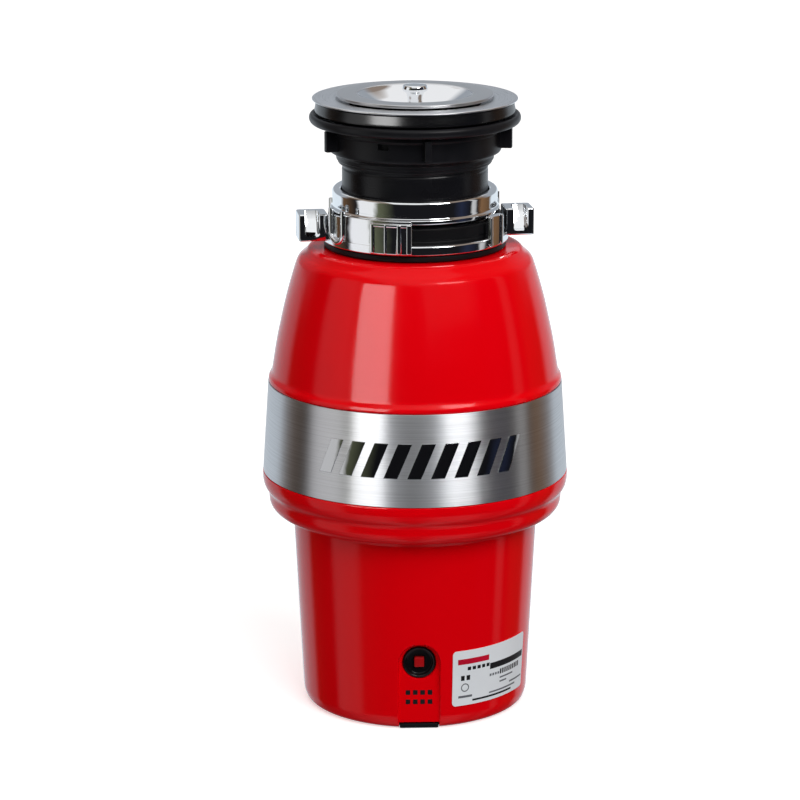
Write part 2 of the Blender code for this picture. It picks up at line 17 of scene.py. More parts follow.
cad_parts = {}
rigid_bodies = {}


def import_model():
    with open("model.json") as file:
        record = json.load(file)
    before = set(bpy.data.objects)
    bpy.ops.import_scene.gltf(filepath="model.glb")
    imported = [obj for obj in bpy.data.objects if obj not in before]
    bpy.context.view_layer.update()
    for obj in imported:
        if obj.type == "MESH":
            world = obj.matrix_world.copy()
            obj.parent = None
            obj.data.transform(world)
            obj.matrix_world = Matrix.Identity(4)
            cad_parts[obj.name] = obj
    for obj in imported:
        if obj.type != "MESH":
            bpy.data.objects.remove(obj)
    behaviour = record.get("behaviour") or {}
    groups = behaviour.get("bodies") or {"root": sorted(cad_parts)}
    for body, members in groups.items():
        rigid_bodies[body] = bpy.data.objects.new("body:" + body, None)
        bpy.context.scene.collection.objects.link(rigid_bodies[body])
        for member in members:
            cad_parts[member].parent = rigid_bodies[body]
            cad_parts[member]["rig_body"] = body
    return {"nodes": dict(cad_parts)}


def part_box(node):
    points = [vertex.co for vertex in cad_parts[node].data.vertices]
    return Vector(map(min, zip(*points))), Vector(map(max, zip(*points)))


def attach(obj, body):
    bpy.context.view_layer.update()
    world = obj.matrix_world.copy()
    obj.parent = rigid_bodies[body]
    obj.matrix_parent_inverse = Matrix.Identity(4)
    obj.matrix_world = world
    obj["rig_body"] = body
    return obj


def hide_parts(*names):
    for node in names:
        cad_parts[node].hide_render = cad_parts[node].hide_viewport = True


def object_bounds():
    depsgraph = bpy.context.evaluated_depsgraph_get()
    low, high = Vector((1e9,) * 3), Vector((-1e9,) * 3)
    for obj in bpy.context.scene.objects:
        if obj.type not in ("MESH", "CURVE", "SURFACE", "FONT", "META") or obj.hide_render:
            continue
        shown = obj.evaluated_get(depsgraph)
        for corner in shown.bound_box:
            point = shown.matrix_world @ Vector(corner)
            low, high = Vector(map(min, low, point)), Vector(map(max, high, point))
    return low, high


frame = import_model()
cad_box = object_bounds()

bl_info = {
    "name": "Food-waste disposer",
    "version": (1, 0, 0),
    "blender": (4, 5, 0),
    "location": "View3D > Sidebar > Disposer",
    "description": "Builds the finished surfaces, materials and studio of a kitchen food-waste disposer",
    "category": "Add Mesh",
}

MM = 0.001
FRONT, BACK = -90, 90
MERGE = 2e-6  # metres between points that are one
SHARP = math.radians(38)
CASING = "casing"


# ---------------------------------------------------------------- sizes and colours

class DisposerSizes(bpy.types.PropertyGroup):
    sides: IntProperty(name="Sides", description="Columns round a large turned piece", default=240, min=48)
    corner_steps: IntProperty(
        name="Corner steps", description="Points on each rounded corner", default=5, min=2)
    thread_pitch: FloatProperty(
        name="Thread pitch", description="Rise of the sleeve's thread in one turn", default=0.003,
        min=0.001, unit="LENGTH")
    thread_depth: FloatProperty(
        name="Thread depth", description="Depth of the sleeve's thread", default=0.0005, min=0,
        unit="LENGTH")
    recess_edge: FloatProperty(
        name="Recess edge", description="Width of the rounded edge of the reset recess", default=0.0009,
        min=0.0002, unit="LENGTH")
    motif_bars: IntProperty(
        name="Motif bars", description="Slanted bars on the trim band", default=9, min=1)
    motif_span: FloatProperty(
        name="Motif span", description="Length of the row of bars along the band", default=0.119, min=0.02,
        unit="LENGTH")
    motif_height: FloatProperty(
        name="Motif height", description="Height of the slanted bars", default=0.0195, min=0.002,
        unit="LENGTH")
    label_corner: FloatProperty(
        name="Label corner", description="Corner radius of the rating label", default=0.0022, min=0.0002,
        unit="LENGTH")


class DisposerColours(bpy.types.PropertyGroup):
    casing: FloatVectorProperty(
        name="Casing", description="Gloss casing colour", subtype="COLOR", default=(0.86, 0.0, 0.004),
        min=0, max=1)
    chrome: FloatVectorProperty(
        name="Chrome", description="Plated crown and collar", subtype="COLOR", default=(0.86, 0.88, 0.90),
        min=0, max=1)
    steel: FloatVectorProperty(
        name="Steel", description="Brushed and polished stainless steel", subtype="COLOR",
        default=(0.80, 0.81, 0.83), min=0, max=1)
    plastic: FloatVectorProperty(
        name="Black plastic", description="Moulded nut, sleeve and base", subtype="COLOR",
        default=(0.009, 0.009, 0.011), min=0, max=1)
    rubber: FloatVectorProperty(
        name="Rubber", description="Gaskets, cushion and splash guard", subtype="COLOR",
        default=(0.006, 0.006, 0.007), min=0, max=1)
    copper: FloatVectorProperty(
        name="Copper", description="Enamelled motor windings", subtype="COLOR", default=(0.62, 0.22, 0.08),
        min=0, max=1)
    label: FloatVectorProperty(
        name="Label film", description="Silver-white label film", subtype="COLOR",
        default=(0.82, 0.85, 0.88), min=0, max=1)
    button: FloatVectorProperty(
        name="Button", description="Reset button", subtype="COLOR", default=(0.42, 0.004, 0.006), min=0,
        max=1)


def sizes():
    return bpy.context.scene.disposer_sizes


def colours():
    return bpy.context.scene.disposer_colours


def extent(node):
    """The outer radius about Z, the foot and the top of a CAD node, in millimetres."""
    low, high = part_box(node)
    return high.x / MM, low.z / MM, high.z / MM


# ---------------------------------------------------------------- grids of points

def softened(corners, closed=True):
    """Rows of (x, y, softness) as a fine outline. Each corner becomes the quadratic curve
    (1-t)^2 a + 2t(1-t) corner + t^2 b, where a and b lie on its two sides at the softness's distance,
    or just under half of the shorter side."""
    table = np.array(corners, float)
    points, soft = table[:, :2], table[:, 2].copy()
    if not closed:
        soft[[0, -1]] = 0
    before, after = np.roll(points, 1, 0) - points, np.roll(points, -1, 0) - points
    before_length = np.maximum(np.linalg.norm(before, axis=1), 1e-9)
    after_length = np.maximum(np.linalg.norm(after, axis=1), 1e-9)
    reach = np.minimum(soft, 0.499 * np.minimum(before_length, after_length))
    a = points + before * (reach / before_length)[:, None]
    b = points + after * (reach / after_length)[:, None]
    t = np.linspace(0, 1, sizes().corner_steps)[:, None, None]
    curve = (1 - t) ** 2 * a + 2 * t * (1 - t) * points + t ** 2 * b
    return curve.transpose(1, 0, 2).reshape(-1, 2)


def refined(outline, step):
    """The outline with points added along it so that no side is longer than the step."""
    lengths = np.linalg.norm(np.diff(outline, axis=0), axis=1)
    along = np.concatenate([[0], np.cumsum(lengths)])
    wanted = np.union1d(along, np.arange(0, along[-1], step))
    return np.stack([np.interp(wanted, along, outline[:, k]) for k in range(2)], -1)


def round_z(outline, degrees):
    """An outline of (radius, height) at each angle: the point (r cos a, r sin a, z)."""
    radius, height = outline[:, :1], outline[:, 1:]
    turn = np.radians(degrees)[None, :]
    return np.stack([radius * np.cos(turn), radius * np.sin(turn), height + 0 * turn], -1)


def all_round(count=None):
    count = count or sizes().sides
    return np.arange(count) * 360 / count


def drawn(section, length, draw, step=None):
    """Stations along a length and the closed section at each. Within the draw distance of either end the
    section shrinks about its middle as a quarter circle does, which rounds the ends' edges."""
    quarter = np.linspace(0, math.pi / 2, 4)
    edge, inset = draw * (1 - np.cos(quarter)), draw * (1 - np.sin(quarter))
    inner = max(1, round((length - 2 * draw) / (step or length)))
    between = np.linspace(draw, length - draw, inner + 1)[1:-1]
    stations = np.concatenate([edge, between, (length - edge)[::-1]])
    insets = np.concatenate([inset, 0 * between, inset[::-1]])
    middle = (section.max(0) + section.min(0)) / 2
    half = (section.max(0) - section.min(0)) / 2
    shrink = 1 - insets[:, None] / half
    return stations, middle + (section - middle) * shrink[:, None, :]


def sector(corners, start, end, draw=0.5):
    """A closed (radius, height) section carried round Z from start to end degrees: rows are angles."""
    section = softened(corners)
    radius = section[:, 0].mean()
    stations, sections = drawn(section, math.radians(end - start) * radius, draw, 1.2)
    turn = (math.radians(start) + stations / radius)[:, None]
    r, z = sections[..., 0], sections[..., 1]
    return np.stack([r * np.cos(turn), r * np.sin(turn), z], -1)


def raised(corners, bottom, top, draw=0.5):
    """A closed (x, y) outline carried up from bottom to top: rows are heights."""
    stations, sections = drawn(softened(corners), top - bottom, draw)
    height = np.broadcast_to((bottom + stations)[:, None], sections.shape[:2])
    return np.stack([sections[..., 0], sections[..., 1], height], -1)


def turned_about_z(points, degrees):
    """Points turned about Z by the rotation (x cos a - y sin a, x sin a + y cos a, z)."""
    c, s = math.cos(math.radians(degrees)), math.sin(math.radians(degrees))
    x, y, z = np.moveaxis(points, -1, 0)
    return np.stack([c * x - s * y, s * x + c * y, z], -1)


def facing(points, degrees, height=0):
    """Points made along +Z, laid so that +Z points outwards at this angle, +Y up and +X along the wall."""
    out = np.array([math.cos(math.radians(degrees)), math.sin(math.radians(degrees)), 0])
    along = np.array([-out[1], out[0], 0])
    x, y, z = np.moveaxis(points, -1, 0)
    return x[..., None] * along + z[..., None] * out + (y + height)[..., None] * np.array([0, 0, 1.0])


def box_corners(low, high, soft=0.6):
    (x0, y0), (x1, y1) = low, high
    return [(x0, y0, soft), (x1, y0, soft), (x1, y1, soft), (x0, y1, soft)]


def circle_corners(radius, count=48, centre=(0, 0)):
    turn = np.radians(all_round(count))
    return [(centre[0] + radius * c, centre[1] + radius * s, 0) for c, s in zip(np.cos(turn), np.sin(turn))]


def stadium_corners(half_length, radius, count=24):
    """A slot outline with round ends along X."""
    turn = np.radians(np.linspace(-90, 90, count))
    right = np.stack([half_length + radius * np.cos(turn), radius * np.sin(turn), 0 * turn], -1)
    return np.concatenate([right, right * [-1, -1, 1]])


def inside_slot(across, up, half, centre):
    """How far a point lies inside an upright slot that is open below and round above its centre:
    half - sqrt(across^2 + max(up - centre, 0)^2)."""
    return half - np.hypot(across, np.maximum(up - centre, 0))


def smooth_step(value):
    t = np.clip(value, 0, 1)
    return t * t * (3 - 2 * t)


# ---------------------------------------------------------------- meshes and pieces

def surface(name, *grids, rows_closed=False, capped=True):
    """One mesh of closed shells. A grid is (rows, columns, 3) points in millimetres; quads join neighbours,
    columns close on themselves, rows do if asked, and else flat caps close the first and the last row."""
    points, faces, first = [], [], 0
    for grid in grids:
        rows, columns = grid.shape[:2]
        index = first + np.arange(rows * columns).reshape(rows, columns)
        below, beside = np.roll(index, -1, 0), np.roll(index, -1, 1)
        quads = np.stack([index, beside, np.roll(below, -1, 1), below], -1)
        faces += quads[:rows if rows_closed else rows - 1].reshape(-1, 4).tolist()
        if capped and not rows_closed:
            faces += [index[0].tolist(), index[-1].tolist()]
        points.append(grid.reshape(-1, 3) * MM)
        first += rows * columns
    mesh = bpy.data.meshes.new(name)
    mesh.from_pydata(np.concatenate(points).tolist(), [], faces)
    thing = bpy.data.objects.new(name, mesh)
    bpy.context.scene.collection.objects.link(thing)
    return cleaned(thing)


def cleaned(thing):
    """Merges doubles, turns every face outwards and shades smooth between sharp edges."""
    shape = bmesh.new()
    shape.from_mesh(thing.data)
    bmesh.ops.remove_doubles(shape, verts=shape.verts, dist=MERGE)
    bmesh.ops.dissolve_degenerate(shape, edges=shape.edges, dist=MERGE)
    bmesh.ops.recalc_face_normals(shape, faces=shape.faces)
    shape.to_mesh(thing.data)
    shape.free()
    thing.data.shade_smooth()
    thing.data.set_sharp_from_angle(angle=SHARP)
    return thing


def combined(thing, operation, tools):
    """The exact Boolean of a closed mesh with closed tools, kept as its mesh; the tools are removed."""
    for tool in tools:
        modifier = thing.modifiers.new(tool.name, "BOOLEAN")
        modifier.operation = operation
        modifier.solver = "EXACT"
        modifier.object = tool
    graph = bpy.context.evaluated_depsgraph_get()
    mesh = bpy.data.meshes.new_from_object(thing.evaluated_get(graph))
    thing.modifiers.clear()
    thing.data = mesh
    for tool in tools:
        bpy.data.objects.remove(tool)
    if not mesh.polygons:
        raise RuntimeError(f"{thing.name}: nothing is left after its {operation.lower()}")
    return cleaned(thing)


def joined(thing, *tools):
    return combined(thing, "UNION", tools)


def cut(thing, *tools):
    return combined(thing, "DIFFERENCE", tools)


def place(thing, finish, nodes, body=None):
    """Gives a piece its finish and its body, and hides the CAD nodes that it stands for."""
    thing.data.materials.clear()
    thing.data.materials.append(material(finish))
    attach(thing, body or frame["nodes"][nodes[0]]["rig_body"])
    if nodes:
        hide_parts(*nodes)
    return thing


def turned(name, corners, closed=True, sides=None, turn_out=None, height=0, at=None):
    """A softened (radius, height) profile turned once round Z, and laid facing outwards or moved if asked.
    A profile whose two ends are on the axis is left open, because its ends meet there."""
    grid = round_z(softened(corners, closed), all_round(sides))
    if turn_out is not None:
        grid = facing(grid, turn_out, height)
    if at is not None:
        grid = grid + np.array([*at, 0.0])
    return surface(name, grid, rows_closed=closed, capped=False)


def turned_piece(node, finish, corners, **how):
    """A turned piece that stands for one CAD node."""
    return place(turned(f"{node}_surface", corners, **how), finish, [node])


# ---------------------------------------------------------------- materials


def grow(tree, kind, wires=None, **settings):
    """Adds a node, with its settings, and its sockets either linked or set."""
    made = tree.nodes.new(f"ShaderNode{kind}")
    for key, value in settings.items():
        setattr(made, key, value)
    for socket, value in (wires or {}).items():
        if isinstance(value, bpy.types.NodeSocket):
            tree.links.new(value, made.inputs[socket])
        else:
            made.inputs[socket].default_value = value
    return made


def object_point(tree):
    return grow(tree, "TexCoord").outputs["Object"]


def stretched(tree, scale):
    """Object coordinates scaled along each axis, in 1/metres."""
    return grow(tree, "Mapping", {"Vector": object_point(tree), "Scale": scale}).outputs["Vector"]


def noise(tree, point, detail=2.0, scale=1.0):
    return grow(tree, "TexNoise", {"Vector": point, "Scale": scale, "Detail": detail}).outputs["Fac"]


def between(tree, amount, low, high, start=0.3, end=0.7):
    """An amount spread from start..end to low..high."""
    wires = {"Value": amount, "From Min": start, "From Max": end, "To Min": low, "To Max": high}
    return grow(tree, "MapRange", wires).outputs["Result"]


def bumped(tree, height, strength, depth, under=None):
    wires = {"Height": height, "Strength": strength, "Distance": depth}
    if under is not None:
        wires["Normal"] = under
    return grow(tree, "Bump", wires).outputs["Normal"]


def math_node(tree, operation, *values):
    return grow(tree, "Math", dict(enumerate(values)), operation=operation).outputs["Value"]


def blend_colour(tree, amount, first, second):
    wires = {"Factor": amount, "A": first, "B": second}
    made = grow(tree, "Mix", data_type="RGBA")
    for key, value in wires.items():
        socket = next(s for s in made.inputs if s.name == key and s.enabled)
        if isinstance(value, bpy.types.NodeSocket):
            tree.links.new(value, socket)
        else:
            socket.default_value = value if key == "Factor" else (*value, 1)
    return next(s for s in made.outputs if s.enabled)


def radius_from_axis(tree):
    flat = grow(tree, "VectorMath", {0: object_point(tree), 1: (1, 1, 0)}, operation="MULTIPLY")
    return grow(tree, "VectorMath", {0: flat.outputs["Vector"]}, operation="LENGTH").outputs["Value"]


def ring_lines(tree, scale):
    """Noise along the distance from the axis, almost the same all the way round: turned or spun lines."""
    parts = grow(tree, "SeparateXYZ", {0: object_point(tree)})
    wires = {
        "X": math_node(tree, "MULTIPLY", radius_from_axis(tree), scale),
        "Y": math_node(tree, "MULTIPLY", parts.outputs["X"], scale / 60),
        "Z": math_node(tree, "MULTIPLY", parts.outputs["Y"], scale / 60),
    }
    return noise(tree, grow(tree, "CombineXYZ", wires).outputs["Vector"], 3.0)


def shaded(name, colour, metallic=0.0):
    """A material, its node tree and its shader, with the colour on the shader's own socket."""
    made = bpy.data.materials.new(name)
    made.use_nodes = True
    tree = made.node_tree
    shader = tree.nodes["Principled BSDF"]
    shader.inputs["Base Color"].default_value = (*colour, 1)
    shader.inputs["Metallic"].default_value = metallic
    return made, tree, shader


def wire(tree, shader, **sockets):
    for socket, value in sockets.items():
        tree.links.new(value, shader.inputs[socket.replace("_", " ")])


def gloss_red(name):
    """Polished moulding: faint flow ripple, and a light haze that changes over the surface."""
    made, tree, shader = shaded(name, colours().casing)
    shader.inputs["Specular IOR Level"].default_value = 0.16
    haze = noise(tree, stretched(tree, (30, 30, 18)), 4.0)
    ripple = noise(tree, stretched(tree, (260, 260, 200)), 2.0)
    tone = noise(tree, stretched(tree, (9, 9, 5)), 1.0)
    deeper = tuple(0.93 * c for c in colours().casing)
    wire(tree, shader, Roughness=between(tree, haze, 0.09, 0.15),
         Normal=bumped(tree, ripple, 0.05, 0.0002),
         Base_Color=blend_colour(tree, between(tree, tone, 0, 1), colours().casing, deeper))
    return made


def button_red(name):
    made, tree, shader = shaded(name, colours().button)
    shader.inputs["Specular IOR Level"].default_value = 0.25
    grain = noise(tree, stretched(tree, (1800, 1800, 1800)), 2.0)
    wire(tree, shader, Roughness=between(tree, grain, 0.30, 0.42), Normal=bumped(tree, grain, 0.1, 0.00005))
    return made


def plated_chrome(name):
    """Bright plating over a casting: soft waves, faint haze and a few fine polishing marks."""
    made, tree, shader = shaded(name, colours().chrome, 1.0)
    waves = noise(tree, stretched(tree, (70, 70, 90)), 2.0)
    haze = noise(tree, stretched(tree, (35, 35, 35)), 4.0)
    marks = noise(tree, stretched(tree, (900, 900, 240)), 3.0)
    wire(tree, shader, Roughness=between(tree, haze, 0.03, 0.09),
         Normal=bumped(tree, marks, 0.02, 0.00004, bumped(tree, waves, 0.35, 0.0006)))
    return made


def brushed(name, lines, anisotropic, rough=(0.26, 0.36), strength=0.16, colour=None):
    """Brushed steel: the lines change the height, the roughness and, a little, the tone."""
    base = colour or colours().steel
    made, tree, shader = shaded(name, base, 1.0)
    streaks = lines(tree)
    shader.inputs["Anisotropic"].default_value = anisotropic
    shader.inputs["Anisotropic Rotation"].default_value = 0.25
    around = grow(tree, "Tangent", direction_type="RADIAL", axis="Z").outputs["Tangent"]
    darker = tuple(0.80 * c for c in base)
    wire(tree, shader, Roughness=between(tree, streaks, *rough),
         Base_Color=blend_colour(tree, between(tree, streaks, 0, 1, 0.35, 0.65), darker, base),
         Normal=bumped(tree, streaks, strength, 0.00005), Tangent=around)
    return made


def band_steel(name):
    return brushed(name, lambda tree: noise(tree, stretched(tree, (14, 14, 2600)), 4.0), 1.0,
                   (0.38, 0.46), 0.12)


def rim_steel(name):
    return brushed(name, lambda tree: ring_lines(tree, 4200), 0.5, (0.27, 0.33), 0.03)


def spun_steel(name):
    return brushed(name, lambda tree: ring_lines(tree, 1200), 0.3, (0.12, 0.2), 0.06)


def dish_steel(name):
    """The stopper: a brushed rim round a mirror-polished dish, told apart by the distance from the axis."""
    made, tree, shader = shaded(name, colours().steel, 1.0)
    rim = between(tree, radius_from_axis(tree), 0, 1, 0.0312, 0.0320)
    lines = ring_lines(tree, 4200)
    haze = noise(tree, stretched(tree, (60, 60, 60)), 3.0)
    rough = math_node(tree, "MULTIPLY_ADD", rim, 0.26, between(tree, haze, 0.03, 0.08))
    depth = grow(tree, "Bump", {"Height": lines, "Distance": 0.00004,
                                "Strength": math_node(tree, "MULTIPLY", rim, 0.05)})
    darker = tuple(0.72 * c for c in colours().steel)
    wire(tree, shader, Roughness=rough, Normal=depth.outputs["Normal"],
         Base_Color=blend_colour(tree, rim, colours().steel, darker))
    return made


def polished_steel(name):
    made, tree, shader = shaded(name, colours().steel, 1.0)
    haze = noise(tree, stretched(tree, (60, 60, 60)), 4.0)
    marks = noise(tree, stretched(tree, (700, 700, 1400)), 3.0)
    wire(tree, shader, Roughness=between(tree, haze, 0.05, 0.14), Normal=bumped(tree, marks, 0.05, 0.00004))
    return made


def motif_steel(name):
    """Mirror-polished bars on the band: the steel's colour darkened to 0.62 is painted dark reflection."""
    made, tree, shader = shaded(name, tuple(0.62 * c for c in colours().steel), 1.0)
    waves = noise(tree, stretched(tree, (60, 60, 60)), 3.0)
    wire(tree, shader, Roughness=between(tree, waves, 0.03, 0.08), Normal=bumped(tree, waves, 0.3, 0.0006))
    return made


def grained(name, colour, rough, cell, depth, metallic=0.0, tone=0.75):
    """Fine grain of a given cell size in metres: it changes the height, the roughness and the tone."""
    made, tree, shader = shaded(name, colour, metallic)
    shader.inputs["Specular IOR Level"].default_value = 0.5 if metallic else 0.2
    grain = noise(tree, stretched(tree, (1 / cell,) * 3), 3.0)
    patches = noise(tree, stretched(tree, (0.06 / cell,) * 3), 3.0)
    darker = tuple(tone * c for c in colour)
    wire(tree, shader, Roughness=between(tree, patches, *rough), Normal=bumped(tree, grain, 0.35, depth),
         Base_Color=blend_colour(tree, between(tree, patches, 0, 1), darker, colour))
    return made


def black_plastic(name):
    return grained(name, colours().plastic, (0.30, 0.42), 0.0007, 0.00003)


def thread_plastic(name):
    return grained(name, colours().plastic, (0.24, 0.34), 0.0012, 0.00002)


def black_rubber(name):
    return grained(name, colours().rubber, (0.42, 0.58), 0.0009, 0.00004)


def gasket_gloss(name):
    made = grained(name, colours().rubber, (0.20, 0.27), 0.002, 0.00002)
    made.node_tree.nodes["Principled BSDF"].inputs["Specular IOR Level"].default_value = 0.45
    return made


def cast_aluminium(name):
    return grained(name, (0.60, 0.61, 0.63), (0.42, 0.56), 0.0011, 0.00009, 1.0)


def motor_steel(name):
    """Machined or laminated steel: fine level lines 0.5 mm apart."""
    made, tree, shader = shaded(name, (0.42, 0.43, 0.45), 1.0)
    layers = grow(tree, "TexWave", {"Vector": object_point(tree), "Scale": 320.0, "Distortion": 0.6},
                  bands_direction="Z").outputs["Fac"]
    wear = noise(tree, stretched(tree, (120, 120, 120)), 4.0)
    wire(tree, shader, Roughness=between(tree, wear, 0.30, 0.46),
         Normal=bumped(tree, layers, 0.15, 0.00008),
         Base_Color=blend_colour(tree, between(tree, wear, 0, 1), (0.30, 0.31, 0.33), (0.46, 0.47, 0.49)))
    return made


def copper(name):
    """Enamelled wire: strands 0.9 mm apart that run round the coil."""
    made, tree, shader = shaded(name, colours().copper, 1.0)
    strands = grow(tree, "TexWave", {"Vector": object_point(tree), "Scale": 175.0, "Distortion": 1.5},
                   bands_direction="Z").outputs["Fac"]
    tone = noise(tree, stretched(tree, (40, 40, 500)), 2.0)
    light = tuple(min(1, 1.3 * c) for c in colours().copper)
    wire(tree, shader, Roughness=between(tree, tone, 0.28, 0.4), Normal=bumped(tree, strands, 0.6, 0.0003),
         Base_Color=blend_colour(tree, between(tree, tone, 0, 1), colours().copper, light))
    return made


def label_film(name):
    return grained(name, colours().label, (0.30, 0.38), 0.0016, 0.00001, 0.0, 0.94)


def print_black(name):
    return grained(name, (0.012, 0.012, 0.014), (0.4, 0.5), 0.0008, 0.00001)


def print_grey(name):
    return grained(name, (0.16, 0.17, 0.19), (0.4, 0.5), 0.0008, 0.00001)


def print_red(name):
    return grained(name, (0.62, 0.004, 0.03), (0.35, 0.45), 0.0008, 0.00001)


MAKERS = {
    "red_gloss": gloss_red, "signal_red": button_red, "chrome": plated_chrome, "band_steel": band_steel,
    "rim_steel": rim_steel, "brushed_steel": spun_steel, "dish_steel": dish_steel,
    "polished_steel": polished_steel, "motif_steel": motif_steel, "black_plastic": black_plastic,
    "thread_plastic": thread_plastic, "black_rubber": black_rubber, "gasket_gloss": gasket_gloss,
    "cast_aluminium": cast_aluminium, "motor_steel": motor_steel, "copper": copper,
    "label_film": label_film, "print_black": print_black, "print_grey": print_grey,
    "print_red": print_red,
}


def material(finish):
    """The material of a finish, made once."""
    name = f"finish_{finish}"
    return bpy.data.materials.get(name) or MAKERS[finish](name)


# ---------------------------------------------------------------- pieces

class Maker:
    """What every operator here shares: it runs its make method."""

    bl_options = {"REGISTER", "UNDO"}

    def execute(self, context):
        self.make()
        return {"FINISHED"}


class DISPOSER_OT_stopper(Maker, bpy.types.Operator):
    """Make the lift-out stopper: brushed and dished plate, turned knob and seal"""

    bl_idname = "disposer.stopper"
    bl_label = "Stopper"

    def make(self):
        outer, foot, top = extent("stopper_plate")
        turned_piece("stopper_plate", "dish_steel", [
            (0, foot, 0), (9, foot + 0.1, 4), (20, foot + 2.4, 4), (31.0, top - 2.2, 1.5),
            (33.0, top - 1.8, 1.0), (outer - 0.3, top - 1.9, 0.2), (outer, top - 0.9, 0.5),
            (outer - 0.3, top - 0.1, 0.5), (32.2, top, 0.9), (29.9, top - 1.9, 1.6), (19.5, top - 8.5, 7),
            (9, top - 10.7, 6), (0, top - 10.8, 0),
        ], closed=False)
        outer, foot, top = extent("stopper_knob")
        turned_piece("stopper_knob", "chrome", [
            (0, foot, 0), (5.4, foot, 0.3), (5.8, foot + 0.5, 0.4), (5.3, foot + 1.1, 0.4),
            (4.7, foot + 1.5, 0.4), (4.3, foot + 3.2, 2), (4.1, foot + 7.6, 3), (4.9, foot + 10.4, 1.6),
            (outer, foot + 11.6, 0.5), (outer + 0.1, foot + 12.9, 0.5), (outer - 0.5, top - 0.4, 0.6),
            (3.5, top, 2), (0, top, 0),
        ], closed=False, sides=96)
        outer, foot, top = extent("stopper_gasket")
        turned_piece("stopper_gasket", "black_rubber", [
            (32.9, foot + 1.6, 0.4), (35.2, foot, 0.9), (outer - 0.2, foot + 3, 0.6), (outer, top, 0.4),
            (32.9, top - 0.1, 0.3),
        ])


class DISPOSER_OT_sink_mount(Maker, bpy.types.Operator):
    """Make the sink flange, its gasket, the backing ring and the splash guard"""

    bl_idname = "disposer.sink_mount"
    bl_label = "Sink mount"

    def make(self):
        outer, foot, top = extent("sink_flange")
        throat = 36.4
        turned_piece("sink_flange", "rim_steel", [
            (throat, foot, 0.3), (throat + 1.2, foot, 0.3), (throat + 1.2, top - 14.4, 4),
            (40.4, top - 6.2, 3), (44.2, top - 2.2, 2.5), (outer - 0.9, top - 1.3, 0.5),
            (outer, top - 0.9, 0.4), (outer - 0.1, top - 0.3, 0.4), (outer - 1.0, top - 0.05, 0.8),
            (44.6, top - 0.35, 1), (42.6, top - 1.6, 1), (39.2, top - 6, 3), (throat, top - 14.4, 4),
        ])
        outer, foot, top = extent("sink_gasket")
        turned_piece("sink_gasket", "gasket_gloss", [
            (42.6, foot, 0.3), (outer - 0.2, foot, 0.9), (outer + 0.1, foot + 1.6, 1.2),
            (outer - 0.5, top - 1.6, 1.4), (outer - 0.7, top - 0.1, 0.5), (47.0, top - 0.6, 0.5),
            (44.7, foot + 4.2, 0.5),
        ])
        outer, foot, top = extent("backing_ring")
        turned_piece("backing_ring", "black_plastic", [
            (41.1, foot, 0.3), (outer - 1.6, foot, 0.8), (outer, foot + 1.6, 1.2), (outer, top - 1.4, 1.2),
            (outer - 1.0, top, 0.8), (outer - 2.6, top, 0.3), (outer - 2.9, top - 0.5, 0.3),
            (41.1, top - 0.5, 0.3),
        ])
        outer, foot, top = extent("splash_guard")
        guard = turned("splash_guard_surface", [
            (outer, foot + 11.3, 0.3), (outer, top, 0.5), (33.6, top, 1.5), (32.4, top - 3.4, 2),
            (7, foot + 2, 0.8), (7, foot, 0.6), (33, foot + 9.6, 1.5), (34.4, foot + 11.3, 0.6),
        ], sides=120)
        slit = raised(box_corners((-27, -0.6), (27, 0.6), 0.4), foot - 6, top + 6, 0.1)
        slits = [surface(f"slit_{k}", turned_about_z(slit, 60 * k)) for k in range(3)]
        place(cut(guard, *slits), "black_rubber", ["splash_guard"])


